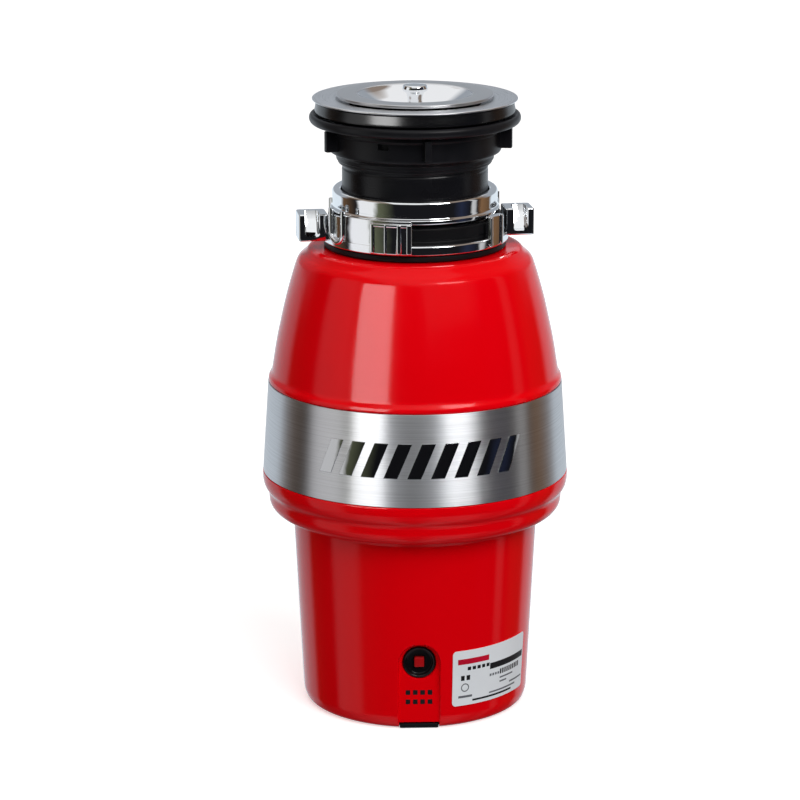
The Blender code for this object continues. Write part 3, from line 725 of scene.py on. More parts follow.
class DISPOSER_OT_neck(Maker, bpy.types.Operator):
    """Make the threaded sleeve and the winged nut on it"""

    bl_idname = "disposer.neck"
    bl_label = "Threaded neck"

    def make(self):
        self.make_sleeve()
        self.make_nut()

    def make_sleeve(self):
        """The outer wall's radius falls from the crest by depth * (0.5 - 0.5 cos(2 pi u)), where u is the
        height over the pitch less the share of a turn, so the groove climbs one pitch each turn."""
        outer, foot, top = extent("threaded_sleeve")
        bore, lip, groove = 38.0, 35.4, 39.1
        thread_low, thread_high = top - 26.5, top - 0.8
        wall = softened([
            (bore, top, 0.3), (bore, foot + 2.4, 0.3), (lip, foot + 2.2, 0.3), (lip, foot, 0.3),
            (outer, foot, 0.3), (outer, foot + 2.1, 0.2), (groove, foot + 2.1, 0.2),
            (groove, foot + 4.7, 0.2), (outer, foot + 4.7, 0.2), (outer, top, 0.3),
        ])
        wall = np.concatenate([refined(wall, 0.25), wall[:1]])[:-1]
        turns = all_round()
        grid = round_z(wall, turns)
        pitch, depth = sizes().thread_pitch / MM, sizes().thread_depth / MM
        height = wall[:, 1:]
        wave = 0.5 - 0.5 * np.cos(math.tau * (height / pitch - turns / 360))
        fade = smooth_step((height - thread_low) / 2) * smooth_step((thread_high - height) / 1)
        on_wall = wall[:, :1] > outer - 0.01
        radius = wall[:, :1] - on_wall * depth * wave * fade
        grid[..., :2] *= (radius / wall[:, :1])[..., None]
        place(surface("threaded_sleeve_surface", grid, rows_closed=True), "thread_plastic",
              ["threaded_sleeve"])

    def make_nut(self):
        outer, foot, top = extent("mounting_nut")
        bore, body, wing_reach = 41.1, 48.0, 54.4
        nut = turned("mounting_nut_surface", [
            (bore, foot, 0.3), (42.3, foot + 0.1, 0.3), (42.9, foot + 1.0, 0.4), (42.9, foot + 2.0, 0.3),
            (43.7, foot + 2.4, 0.3), (43.9, foot + 4.6, 0.4), (45.4, foot + 5.8, 0.6),
            (body - 0.4, foot + 7.0, 0.8), (body, foot + 8.4, 0.8), (body, top - 3.6, 0.4),
            (body + 0.9, top - 3.0, 0.5), (body + 0.9, top, 0.4), (bore, top, 0.3),
        ])
        wing_low, wing_high = foot + 9.4, top - 0.8
        plan = [(46, -2.9, 0.4), (body + 1.5, -2.0, 0.8), (wing_reach, -1.8, 0.6),
                (wing_reach, 1.8, 0.6), (body + 1.5, 2.0, 0.8), (46, 2.9, 0.4)]
        wings = []
        for number in range(5):
            degrees = 275.5 + 72 * number
            wings.append(surface(f"wing_{number}",
                                 turned_about_z(raised(plan, wing_low, wing_high, 0.5), degrees)))
        nut = joined(nut, *wings)
        pocket = sector(box_corners((body - 2.2, top - 7.4), (body + 0.8, top - 4.0), 0.2), 243, 250.5, 0.3)
        place(cut(nut, surface("pocket", pocket)), "black_plastic", ["mounting_nut"])


class DISPOSER_OT_crown(Maker, bpy.types.Operator):
    """Make the chrome collar, the lock ring with its ears, and the snap ring between them"""

    bl_idname = "disposer.crown"
    bl_label = "Chrome crown"

    def make(self):
        self.make_collar()
        self.make_lock_ring()
        outer, foot, top = extent("snap_ring")
        ring = sector([(39.5, foot, 0.3), (outer, foot, 0.3), (outer, top, 0.3), (39.5, top, 0.3)],
                      BACK + 12, BACK + 348, 0.3)
        place(surface("snap_ring_surface", ring), "motor_steel", ["snap_ring"])

    def make_collar(self):
        outer, foot, top = extent("collar_ring")
        bore = 41.1
        collar = turned("collar_ring_surface", [
            (bore, foot, 0.3), (45.8, foot, 0.4), (47.0, foot + 1.4, 0.5), (47.1, foot + 3.3, 0.5),
            (46.0, foot + 4.2, 0.4), (45.9, foot + 5.2, 0.3), (46.1, top - 1.6, 0.6),
            (45.5, top - 0.5, 0.5), (44.6, top, 0.5), (42.2, top, 0.4), (bore, top - 0.9, 0.4),
        ])
        tab = box_corners((45, foot + 0.1), (48.8, foot + 2.1), 0.5)
        tabs = [surface(f"collar_tab_{turn}", sector(tab, 221 + turn, 263 + turn)) for turn in (0, 180)]
        place(joined(collar, *tabs), "chrome", ["collar_ring"])

    def make_lock_ring(self):
        _, foot, top = extent("lock_ring")
        bore, outer = 49.2, 52.0
        ring = turned("lock_ring_surface", [
            (bore, foot + 2.4, 0.3), (46.3, foot + 2.4, 0.3), (46.3, foot, 0.3), (outer - 0.3, foot, 0.4),
            (outer, foot + 0.5, 0.4), (outer, foot + 4.6, 0.5), (outer - 0.7, foot + 5.4, 0.5),
            (bore + 0.5, foot + 5.7, 0.4), (bore, foot + 5.2, 0.4),
        ])
        parts = []
        for turn in (0, 180):
            parts += self.half_of_ring(turn, bore, outer, foot, top)
        place(joined(ring, *parts), "chrome", ["lock_ring"])

    def half_of_ring(self, turn, bore, outer, foot, top):
        """What repeats on the ring after half a turn: wall, lip, ribbed box, loop, lug and ear."""
        def at(name, grid):
            return surface(f"{name}_{turn}", turned_about_z(grid, turn))

        wall = sector(box_corners((bore + 0.25, foot + 3), (outer - 0.2, top), 0.7), 219.5, 265.5)
        lip = sector(box_corners((47.6, top - 1.5), (outer - 0.6, top - 0.2), 0.4), 220, 265)
        box = sector(box_corners((outer - 0.9, foot + 0.7), (outer + 1.3, top - 1.2), 0.7), 240.5, 266)
        rib = box_corners((outer + 0.4, foot + 1.1), (outer + 2.4, top - 1.5), 0.8)
        ribs = [sector(rib, start, end, 0.6)
                for start, end in ((240.7, 243.2), (249.5, 251.0), (257.2, 259.6), (262.8, 265.8))]
        head = sector(box_corners((outer + 0.3, top - 3.2), (outer + 2.2, top - 1.3), 0.7), 241, 265.6, 0.6)
        lug = sector(box_corners((bore + 0.45, foot + 0.7), (outer + 0.9, top - 1.2), 0.8), 318.5, 333)
        edge = box_corners((outer + 0.2, foot + 0.9), (outer + 1.9, top - 1.3), 0.7)
        lug_edge = [sector(edge, start, end)
                    for start, end in ((318.7, 321.0), (330.2, 332.8))]
        panel = sector(box_corners((bore + 0.5, foot + 1.2), (outer - 0.9, top - 1.5), 0.6), 206.5, 219.9)
        loop = self.loop_bead(outer, foot, top)
        parts = [at("wall", wall), at("lip", lip), at("box", box), at("head", head), at("lug", lug),
                 at("panel", panel), at("loop", loop)]
        parts += [at(f"rib_{k}", rib) for k, rib in enumerate(ribs)]
        parts += [at(f"lug_edge_{k}", edge) for k, edge in enumerate(lug_edge)]
        parts.append(self.ear(turn, foot))
        return parts

    def loop_bead(self, outer, foot, top):
        """A round bead down, round and up on the ring's wall: the centre line is a U in arc length and
        height, and the bead's circle lies across it."""
        half, radius = 6.0, 1.45
        low, high = foot + 3.0, top + 2.2
        turn = np.linspace(-math.pi / 2, math.pi / 2, 17)
        straight = np.linspace(high, low + half, 6)[:-1]
        along = np.concatenate([-half + 0 * straight, half * np.sin(turn), half + 0 * straight])
        up = np.concatenate([straight, low + half - half * np.cos(turn), straight[::-1]])
        way = np.stack([np.gradient(along), np.gradient(up)], -1)
        way /= np.linalg.norm(way, axis=1, keepdims=True)
        around = np.linspace(0, math.tau, 16, endpoint=False)
        side = radius * np.cos(around)[None, :]
        s = along[:, None] + side * way[:, 1:]
        z = up[:, None] - side * way[:, :1]
        r = outer + radius * 0.9 * np.sin(around)[None, :] + 0 * s
        angle = math.radians(211.6) + s / outer
        return np.stack([r * np.cos(angle), r * np.sin(angle), z], -1)

    def ear(self, turn, foot):
        """A box with a pocket that is open to the top and the front. The pocket's back wall leans: it moves
        forward in proportion to the depth below the top."""
        low, high = foot + 0.9, foot + 16.1
        front = 1 if turn else -1
        ear = surface(f"ear_{turn}", raised(box_corners((49.8, -8.5), (66, 8.5), 1.2), low, high, 0.8))
        pocket = raised(box_corners((54.4, -12), (62.6, 5.2), 1.6), low + 2.6, high + 6, 1.6)
        depth = np.clip((high - pocket[..., 2]) / (high - low), 0, 1)
        pocket[..., 1] -= 8.5 * depth * (pocket[..., 1] > 0)
        pocket[..., 1] *= -front
        ear = cut(ear, surface(f"ear_pocket_{turn}", pocket))
        ear.data.transform(rotation_about_z(6.5 + turn))
        return ear


def rotation_about_z(degrees):
    return Matrix.Rotation(math.radians(degrees), 4, "Z")


class DISPOSER_OT_cushion(Maker, bpy.types.Operator):
    """Make the rubber cushion between the crown and the casing"""

    bl_idname = "disposer.cushion"
    bl_label = "Cushion"

    def make(self):
        outer, foot, top = extent("cushion_mount")
        turned_piece("cushion_mount", "black_rubber", [
            (43.9, foot, 0.4), (outer - 0.2, foot, 0.5), (outer, foot + 0.9, 0.5),
            (outer - 0.3, foot + 3.2, 0.6), (46.2, foot + 3.5, 0.5), (45.8, foot + 6.6, 0.3),
            (48.4, foot + 6.9, 0.4), (48.5, foot + 10.4, 0.5), (48.1, foot + 11.2, 0.5),
            (48.5, foot + 12, 0.5), (48.4, top, 0.6), (46.3, top, 0.6), (46.3, foot + 13.3, 0.4),
            (41.9, foot + 13.3, 0.4), (41.9, foot + 10.7, 0.4), (45.8, foot + 10.4, 0.4),
            (45.8, foot + 7.4, 0.3), (43.9, foot + 7.1, 0.4),
        ])


class DISPOSER_OT_upper_housing(Maker, bpy.types.Operator):
    """Make the upper red housing with its port and inlet openings"""

    bl_idname = "disposer.upper_housing"
    bl_label = "Upper housing"

    def make(self):
        outer, foot, top = extent("upper_housing")
        band_top = extent("trim_band")[2]
        full = 99  # softened as far as its sides allow
        profile = softened([
            (82.2, foot, 0.2), (outer, foot, 0.3), (81.4, band_top + 0.3, 0.25),
            (82.45, band_top + 0.5, 0.5), (82.3, band_top + 2.6, 1.1), (80.6, band_top + 5.2, full),
            (79.5, band_top + 12, full), (77.6, foot + 75, full), (72.2, foot + 99.6, full),
            (67.4, foot + 116, full),
            (65.4, foot + 121.6, 2.5), (61.6, foot + 124.6, 2.2), (59.4, foot + 127.3, 0.9),
            (57, top, 0.8), (46.5, top, 0.4), (46.5, top - 2.6, 0.4), (56.6, top - 2.8, 1.5),
            (62.4, foot + 118.6, 3), (69.2, foot + 99, full), (75, foot + 73.6, full),
            (78.7, foot + 51.8, 2),
        ])
        grid = round_z(refined(profile, 3.0), all_round())
        shell = surface("upper_housing_surface", grid, rows_closed=True)
        port_z = port_height()
        door = [(-35, -30, 0.2), (35, -30, 0.2), (35, 22, 7), (-35, 22, 7)]
        opening = surface("port_opening", facing(raised(door, 50, 100, 0.2), BACK, port_z))
        inlet_z = node_middle("dishwasher_inlet").z
        hole = surface("inlet_opening",
                       facing(raised(circle_corners(11.3), 60, 90, 0.2), BACK, inlet_z))
        place(cut(shell, opening, hole), "red_gloss", ["upper_housing"])


def node_middle(node):
    low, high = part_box(node)
    return (low + high) / 2 / MM


def port_height():
    """The height of the discharge port's axis."""
    return node_middle("discharge_flange").z


class DISPOSER_OT_lower_housing(Maker, bpy.types.Operator):
    """Make the lower red housing with the pressed-in recess of the reset button"""

    bl_idname = "disposer.lower_housing"
    bl_label = "Lower housing"

    recess_half, recess_face, pad_face = 11.5, 61.3, 58.2

    def make(self):
        outer, foot, top = extent("lower_housing")
        reset_z = node_middle("reset_button").z
        profile = softened([
            (57.9, foot + 0.1, 0.3), (58.9, foot, 0.4), (62.3, foot + 1.6, 1.8), (63.8, foot + 6, 2.6),
            (69.0, top - 26.4, 1.2), (70.2, top - 23.7, 1.2), (71.8, top - 23.3, 0.8),
            (78.2, top - 23.3, 2.6), (82.5, top - 19.2, 3.2), (82.9, top - 11.6, 1.6),
            (85.3, top - 8.6, 2.2), (outer, top - 4.2, 2.2), (86.1, top, 0.5), (83.4, top, 0.3),
            (83.4, top - 6.1, 1), (80.3, top - 10, 1), (80.0, top - 17.6, 2), (77.6, top - 20.5, 1.5),
            (70.4, top - 20.7, 1), (66.5, top - 26.1, 1), (61.3, foot + 7, 1), (57.9, foot + 2.6, 0.5),
        ])
        profile = refined(profile, 0.8)
        turns = np.unique(np.concatenate([
            all_round(), FRONT + 360 + np.arange(-14.5, 14.5, 0.25),
            FRONT + 360 + np.arange(9.0, 11.6, 0.08), FRONT + 360 - np.arange(9.0, 11.6, 0.08)]).round(3))
        grid = round_z(profile, turns)
        is_outside = (np.arange(len(profile)) < np.argmax(profile[:, 1] > top - 0.01))[:, None]
        grid = np.where(is_outside[..., None],
                        self.pressed(grid, self.recess_half, reset_z, self.recess_face),
                        self.pressed(grid, 15, reset_z, self.pad_face))
        shell = surface("lower_housing_surface", grid, rows_closed=True)
        place(cut(shell, *self.openings(reset_z, foot)), "red_gloss", ["lower_housing"])

    def pressed(self, grid, half, centre, face):
        """Points in the slot are moved to y = -face. The share of the move is a smooth step of the distance
        inside the slot over the width of its rounded edge."""
        x, y, z = np.moveaxis(grid, -1, 0)
        edge = sizes().recess_edge / MM
        share = smooth_step(inside_slot(x, z, half + edge / 2, centre) / edge) * (y < -face)
        return np.stack([x, y + (-face - y) * share, z], -1)

    def openings(self, reset_z, foot):
        """Cutters for the button's well with a chamfered mouth, the foot's notch and the cord's gland."""
        bore, mouth = 9.5, 10.0
        chamfered = [(0, 50, 0), (bore, 50, 0.1), (bore, self.recess_face - 0.7, 0.2),
                     (mouth, self.recess_face - 0.1, 0.3), (mouth, 70, 0.1), (0, 70, 0)]
        well = turned("well", chamfered, closed=False, sides=96, turn_out=FRONT, height=reset_z)
        notch = raised(box_corners((-self.recess_half + 0.2, -72), (self.recess_half - 0.2, -50), 0.2),
                       foot - 3, foot + 4, 0.1)
        gland_z = node_middle("cable_gland").z
        hole = facing(raised(circle_corners(6.0), 50, 80, 0.2), BACK, gland_z)
        return well, surface("notch", notch), surface("gland_opening", hole)


class DISPOSER_OT_trim_band(Maker, bpy.types.Operator):
    """Make the brushed trim band and the row of polished bars on it"""

    bl_idname = "disposer.trim_band"
    bl_label = "Trim band"

    thick, opening = 0.8, 38.0

    def make(self):
        outer, foot, top = extent("trim_band")
        self.low, self.high = outer, outer - 3.4
        self.foot, self.top = foot, top
        section = softened([
            (self.low, foot, 0.25), (self.high, top, 0.25), (self.high - self.thick, top, 0.2),
            (self.low - self.thick, foot, 0.2),
        ])
        gap = math.degrees(math.asin(self.opening / outer))
        turns = np.linspace(BACK + gap, BACK + 360 - gap, sizes().sides)
        grid = round_z(section, turns).transpose(1, 0, 2)
        place(surface("trim_band_surface", grid), "band_steel", ["trim_band"])
        self.make_motif()

    def make_motif(self):
        """Slanted bars: a flat section of width by thickness carried up the band's height, moved sideways
        in proportion to the height, and wrapped on the cone."""
        count, span = sizes().motif_bars, sizes().motif_span / MM
        height = sizes().motif_height / MM
        slant, proud, sunk = 0.42 * height, 0.28, 0.3
        pitch = (span - slant) / (count - 0.45)
        width = 0.6 * pitch
        section = softened([
            (0, -sunk, 0.05), (width, -sunk, 0.05), (width, proud, 0.22), (0, proud, 0.22)])
        stations, sections = drawn(section, height, 0.25, 4)
        middle = (self.foot + self.top) / 2
        bars = []
        for number in range(count):
            left = -span / 2 + pitch * number
            sideways = left + sections[..., 0] + (slant * stations / height)[:, None]
            bars.append(self.on_band(sideways, middle - height / 2 + stations[:, None], sections[..., 1]))
        place(surface("band_motif", *bars), "motif_steel", [], CASING)

    def on_band(self, sideways, height, proud):
        """Arc length from the front, height and distance outwards, wrapped on the band's cone."""
        share = (height - self.foot) / (self.top - self.foot)
        wall = self.low + (self.high - self.low) * share
        angle = math.radians(FRONT) + sideways / wall
        radius = wall + proud
        return np.stack([radius * np.cos(angle), radius * np.sin(angle), height + 0 * radius], -1)


class DISPOSER_OT_label(Maker, bpy.types.Operator):
    """Make the rating label and its printed marks, which are plain bars"""

    bl_idname = "disposer.label"
    bl_label = "Rating label"

    start, end = FRONT + 16.5, FRONT + 66
    film, ink = 0.3, 0.05

    def make(self):
        low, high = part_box("rating_label")
        self.foot, self.top = low.z / MM, high.z / MM
        self.wide = math.radians(self.end - self.start) * self.wall(self.foot + 16)
        self.tall = self.top - self.foot
        corner = sizes().label_corner / MM
        t = np.linspace(0, 1, 121)
        u = self.wide * (t - np.sin(math.tau * t) / math.tau)
        from_end = np.minimum(u, self.wide - u)
        cut_back = corner - np.sqrt(np.maximum(corner ** 2 - np.maximum(corner - from_end, 0) ** 2, 0))
        up = np.linspace(0, 1, 9)
        v = np.concatenate([up, up[::-1]])
        out = np.concatenate([np.full(9, self.film), np.zeros(9)])
        v_grid = cut_back[:, None] + (self.tall - 2 * cut_back)[:, None] * v
        film = self.wrapped(u[:, None] + 0 * v_grid, v_grid, out[None, :] + 0 * v_grid)
        place(surface("rating_label_surface", film), "label_film", ["rating_label"])
        self.make_print()

    def wall(self, height):
        """The casing's radius on its straight taper, from the widths of the frame's lower housing."""
        return 63.8 + 5.2 * (height - 6) / 103.5

    def wrapped(self, u, v, out):
        """Arc length from the label's left edge, height over its foot and distance outwards, put on the
        cone."""
        height = self.foot + v
        wall = self.wall(height) + 0.2
        angle = math.radians(self.start) + u / self.wall(self.foot + 16)
        radius = wall + out
        return np.stack([radius * np.cos(angle), radius * np.sin(angle), height], -1)

    def mark(self, left, low, right, high):
        """A printed bar: a thin closed box on the film."""
        across = np.linspace(0, 1, max(2, round((right - left) / 1.5) + 1))
        u = (left + (right - left) * across)[:, None]
        v = np.array([low, high, high, low])[None, :] + 0 * u
        out = self.film + np.array([self.ink, self.ink, -self.ink, -self.ink])[None, :] + 0 * v
        return self.wrapped(u + 0 * v, v, out)

    def row_of_marks(self, count, left, step, width, low, height):
        """Equal marks, so many steps apart from the left."""
        starts = [left + step * k for k in range(count)]
        return [self.mark(start, low, start + width, low + height) for start in starts]

    def dot(self, centre_u, centre_v, radius, thick):
        """A printed ring: a thin closed section carried round a small circle on the film."""
        turn = np.radians(all_round(24))[:, None]
        across = np.array([radius, radius + thick, radius + thick, radius])[None, :]
        out = self.film + np.array([self.ink, self.ink, -self.ink, -self.ink])[None, :] + 0 * turn
        return self.wrapped(centre_u + across * np.cos(turn), centre_v + across * np.sin(turn), out)

    def make_print(self):
        right = self.wide - 1.2
        red = [self.mark(3, self.tall - 8.2, 23, self.tall - 5.0)]
        black = [self.mark(24, self.tall - 14.2, right, self.tall - 10.6)]
        black += self.row_of_marks(5, 9, 3.1, 2.1, self.tall - 12.0, 2.0)
        black += self.row_of_marks(2, 5, 3.4, 2.2, self.tall - 17.8, 2.9)
        number_low = self.tall - 18.8
        black += self.row_of_marks(10, 32, 1.9, 1.2, number_low, 3.0)
        grey = self.row_of_marks(4, 24, 2.0, 1.3, number_low + 0.4, 1.4)
        for row, (left, end) in enumerate(((32, 44), (32, 38), (41, right), (24, right - 8))):
            low = number_low - 2.6 - 2.4 * row
            grey.append(self.mark(left, low, end, low + 0.9))
        grey.append(self.mark(3.6, 4.6, 12.2, 5.9))
        black.append(self.mark(12.5, 1.9, right - 12, 3.0))
        place(surface("label_marks_red", *red), "print_red", [], CASING)
        place(surface("label_marks_black", *black), "print_black", [], CASING)
        place(surface("label_marks_grey", *grey), "print_grey", [], CASING)
        ring = self.dot(7.6, 10.6, 1.9, 0.6)
        place(surface("label_mark_ring", ring, rows_closed=True), "print_grey", [], CASING)


class DISPOSER_OT_reset(Maker, bpy.types.Operator):
    """Make the overload protector's nose, the reset button in it and the marks under it"""

    bl_idname = "disposer.reset"
    bl_label = "Reset button"

    def make(self):
        low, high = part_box("overload_protector")
        nose_front = -low.y / MM
        button_low, button_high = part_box("reset_button")
        reset_z = node_middle("reset_button").z
        body = [(-9, low.z / MM - reset_z, 1), (9, low.z / MM - reset_z, 1), (9, high.z / MM - reset_z, 1),
                (-9, high.z / MM - reset_z, 1)]
        case = surface("overload_protector_surface",
                       facing(raised(body, -high.y / MM, 57.8, 0.6), FRONT, reset_z))
        nose = turned("nose", [
            (0, 53, 0), (9.15, 53, 0.1), (9.15, nose_front - 0.4, 0.4), (8.5, nose_front, 0.5),
            (7.9, nose_front - 0.2, 0.4), (7.5, nose_front - 0.9, 0.4), (7.1, nose_front - 2.4, 0.5),
            (0, nose_front - 2.5, 0),
        ], closed=False, sides=96, turn_out=FRONT, height=reset_z)
        guide = surface("guide", facing(raised(box_corners((-3.1, -3.1), (3.1, 3.1), 0.5), 51.4, 70, 0.1),
                                        FRONT, reset_z))
        place(cut(joined(case, nose), guide), "gasket_gloss", ["overload_protector"])
        half = (button_high.x - button_low.x) / 2 / MM
        button = raised(box_corners((-half, -half), (half, half), 0.6), -button_high.y / MM,
                        -button_low.y / MM, 0.45)
        place(surface("reset_button_surface", facing(button, FRONT, reset_z)), "signal_red",
              ["reset_button"])
        face = DISPOSER_OT_lower_housing.recess_face
        marks = []
        for row_z in (reset_z - 17.5, reset_z - 23.0):
            for column in range(4):
                left = -7.6 + 4.1 * column
                marks.append(facing(raised(box_corners((left, -1.4), (left + 2.6, 1.4), 0.3), face - 0.1,
                                           face + 0.06, 0.02), FRONT, row_z))
        place(surface("reset_marks", *marks), "print_black", [], CASING)


class DISPOSER_OT_base(Maker, bpy.types.Operator):
    """Make the base plate with its ribs and front foot, and its screws"""

    bl_idname = "disposer.base"
    bl_label = "Base"

    def make(self):
        outer, foot, top = extent("base_plate")
        plate = turned("base_plate_surface", [
            (0, foot, 0), (15, foot, 0.4), (15.6, foot + 0.7, 0.4), (25, foot + 0.7, 0.4),
            (25.6, foot, 0.4), (34, foot, 0.4), (34.6, foot + 0.7, 0.4), (37.4, foot + 0.7, 0.4),
            (38, foot, 0.4), (outer - 0.8, foot, 0.5), (outer, foot + 0.8, 0.5), (outer, top, 0.4),
            (0, top, 0),
        ], closed=False, sides=180)
        tab_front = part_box("base_plate")[0].y / MM
        tab = surface("foot_tab", raised(box_corners((-10.9, tab_front), (10.9, -50), 1.0),
                                         foot + 0.3, top - 0.3, 0.5))
        screws = [f"base_screw_{number}" for number in (1, 2, 3)]
        centres = {name: node_middle(name) for name in screws}
        holes = [turned(f"hole_{name}", [
            (0, top + 3, 0), (2.2, top + 3, 0.1), (2.2, foot + 1.7, 0.1), (3.8, foot + 1.7, 0.1),
            (4.4, foot - 2, 0.1), (0, foot - 2, 0),
        ], closed=False, sides=48, at=(centre.x, centre.y)) for name, centre in centres.items()]
        place(cut(joined(plate, tab), *holes), "black_plastic", ["base_plate"])
        for name, centre in centres.items():
            self.make_screw(name, centre)

    def make_screw(self, name, centre):
        low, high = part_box(name)
        bottom, tip = low.z / MM, high.z / MM
        screw = turned(f"{name}_surface", [
            (0, bottom + 0.25, 0), (1.6, bottom, 1), (3.0, bottom + 0.3, 0.5), (3.3, bottom + 0.7, 0.4),
            (3.3, bottom + 1.2, 0.3), (1.7, bottom + 1.3, 0.3), (1.7, tip - 1.5, 0.3), (0, tip, 0),
        ], closed=False, sides=48, at=(centre.x, centre.y))
        slots = []
        for number in range(2):
            x, y = (1.9, 0.35) if number else (0.35, 1.9)
            cross = raised(box_corners((-x, -y), (x, y), 0.1), bottom - 1, bottom + 0.75, 0.05)
            slots.append(surface(f"cross_{number}", cross + np.array([centre.x, centre.y, 0])))
        place(cut(screw, *slots), "motor_steel", [name])


class DISPOSER_OT_discharge(Maker, bpy.types.Operator):
    """Make the discharge elbow, its gasket, flange and screws, and the inlets at the back"""

    bl_idname = "disposer.discharge"
    bl_label = "Discharge and inlets"

    bore, wall, screw_x = 17.0, 19.4, 26.0

    def make(self):
        self.port_z = port_height()
        self.make_plate("discharge_gasket", "black_rubber", 23, self.bore, 0.3)
        self.make_plate("discharge_flange", "cast_aluminium", 24, 20.2, 0.7)
        self.make_elbow()
        for name in ("flange_screw_1", "flange_screw_2"):
            self.make_screw(name)
        self.make_inlets()

    def make_plate(self, node, finish, disc, bore, draw):
        """A plate with two ears for the screws and a round middle, both carried outwards."""
        low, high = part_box(node)
        near, far = low.y / MM, high.y / MM
        plate = self.facing_port(f"{node}_surface", stadium_corners(self.screw_x, 7.5), near, far, draw)
        middle = self.facing_port("plate_middle", circle_corners(disc, 96), near + 0.05, far - 0.05, draw)
        holes = [self.facing_port(f"hole_{x}", circle_corners(radius, 72, (x, 0)), near - 5, far + 5, 0.1)
                 for radius, x in ((bore, 0), (2.3, self.screw_x), (2.3, -self.screw_x))]
        place(cut(joined(plate, middle), *holes), finish, [node])

    def facing_port(self, name, plan, near, far, draw):
        return surface(name, facing(raised(plan, near, far, draw), BACK, self.port_z))

    def make_elbow(self):
        """A pipe along a straight, a quarter circle and a straight. Each station has an outer and an inner
        radius; outside goes there and inside comes back, so that the rows close on themselves."""
        low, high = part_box("discharge_elbow")
        start_y, end_z = low.y / MM, low.z / MM
        bend = 23.0
        bend_y = high.y / MM - self.wall - bend
        turn = np.radians(np.linspace(0, 90, 31))
        straight = np.array([start_y, start_y + 0.4, start_y + 2.9, start_y + 3.3])
        last = np.array([self.port_z - bend - 3, end_z + 6.5, end_z + 5.5, end_z + 1.5, end_z])
        y = np.concatenate([straight, bend_y + bend * np.sin(turn), bend_y + bend + 0 * last])
        z = np.concatenate([self.port_z + 0 * straight, self.port_z - bend + bend * np.cos(turn), last])
        tilt = np.concatenate([0 * straight, turn, 0 * last + math.pi / 2])
        outside = np.full(len(y), self.wall)
        outside[:4] = 22.0, 22.4, 22.4, 19.6
        inside = np.full(len(y), self.bore)
        outside[-1] -= 0.5
        y, z, tilt = (np.concatenate([a, a[::-1]])[:, None] for a in (y, z, tilt))
        radius = np.concatenate([outside, inside[::-1]])[:, None]
        around = np.radians(all_round(96))[None, :]
        up = radius * np.sin(around)
        grid = np.stack([radius * np.cos(around), y + up * np.sin(tilt), z + up * np.cos(tilt)], -1)
        place(surface("discharge_elbow_surface", grid, rows_closed=True), "black_plastic",
              ["discharge_elbow"])

    def make_screw(self, name):
        low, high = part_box(name)
        near, far, x = low.y / MM, high.y / MM, node_middle(name).x
        head = 4.0
        screw = turned(f"{name}_surface", [
            (0, near, 0), (1.9, near, 0.3), (1.9, far - 3.5, 0.2), (head, far - 3.4, 0.2),
            (head, far - 0.9, 0.7), (head - 1.0, far, 0.7), (0, far, 0),
        ], closed=False, sides=48)
        screw.data.transform(laying_back(x, self.port_z))
        cross = []
        for number in range(2):
            half_x, half_y = (2.2, 0.4) if number else (0.4, 2.2)
            plan = box_corners((x - half_x, -half_y), (x + half_x, half_y), 0.1)
            bar = raised(plan, far - 1.4, far + 1, 0.05)
            cross.append(surface(f"cross_{number}", facing(bar * [-1, 1, 1], BACK, self.port_z)))
        place(cut(screw, *cross), "motor_steel", [name])

    def make_inlets(self):
        low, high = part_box("dishwasher_inlet")
        outer_z = node_middle("dishwasher_inlet").z
        root, tip = low.y / MM, high.y / MM
        barbs = []
        for number in range(3):
            start = tip - 3.2 - 5.2 * number
            barbs += [(10.5, start + 0.2, 0.4), (9.6, start - 0.2, 0.3), (9.6, start - 2.4, 0.3)]
        turned_piece("dishwasher_inlet", "black_plastic", [
            (0, root, 0), (12.2, root, 0.3), (12.4, root + 0.5, 0.3), (12.2, root + 1.6, 0.3),
            (10.5, root + 2.2, 0.4), *barbs[::-1], (9.7, tip, 0.5), (8, tip, 0.3),
            (8, root + 3.4, 0.5), (0, root + 3.4, 0),
        ], closed=False, sides=96, turn_out=BACK, height=outer_z)
        low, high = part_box("cable_gland")
        root, tip = low.y / MM, high.y / MM
        turned_piece("cable_gland", "black_plastic", [
            (3.6, root, 0.3), (8.4, root, 0.3), (8.4, root + 4.7, 0.3), (5.6, root + 5.1, 0.3),
            (5.6, tip - 8.4, 0.3), (9.2, tip - 8.1, 0.3), (9.4, tip - 6.2, 0.5), (8.2, tip - 5.4, 0.5),
            (7.0, tip - 3.0, 1), (6.3, tip - 0.4, 0.5), (5.6, tip, 0.4), (3.6, tip, 0.4),
        ], sides=72, turn_out=BACK, height=node_middle("cable_gland").z)


def laying_back(x, height):
    """The move that lays a piece made along +Z so that it points to +Y, at this x and height."""
    return (Matrix.Translation((x * MM, 0, height * MM))
            @ Matrix.Rotation(math.radians(-90), 4, "X"))


class DISPOSER_OT_inner_finishes(Maker, bpy.types.Operator):
    """Give every CAD piece that stays, such as the motor's and the grinder's, its procedural finish"""

    bl_idname = "disposer.inner_finishes"
    bl_label = "Inner finishes"

    def make(self):
        for name, thing in frame["nodes"].items():
            if thing.hide_render:
                continue
            finish = thing.data.materials[0].name.split(".")[0]
            if finish not in MAKERS:
                raise RuntimeError(f"{name} has an unknown finish, {finish}")
            thing.data.materials[0] = material(finish)


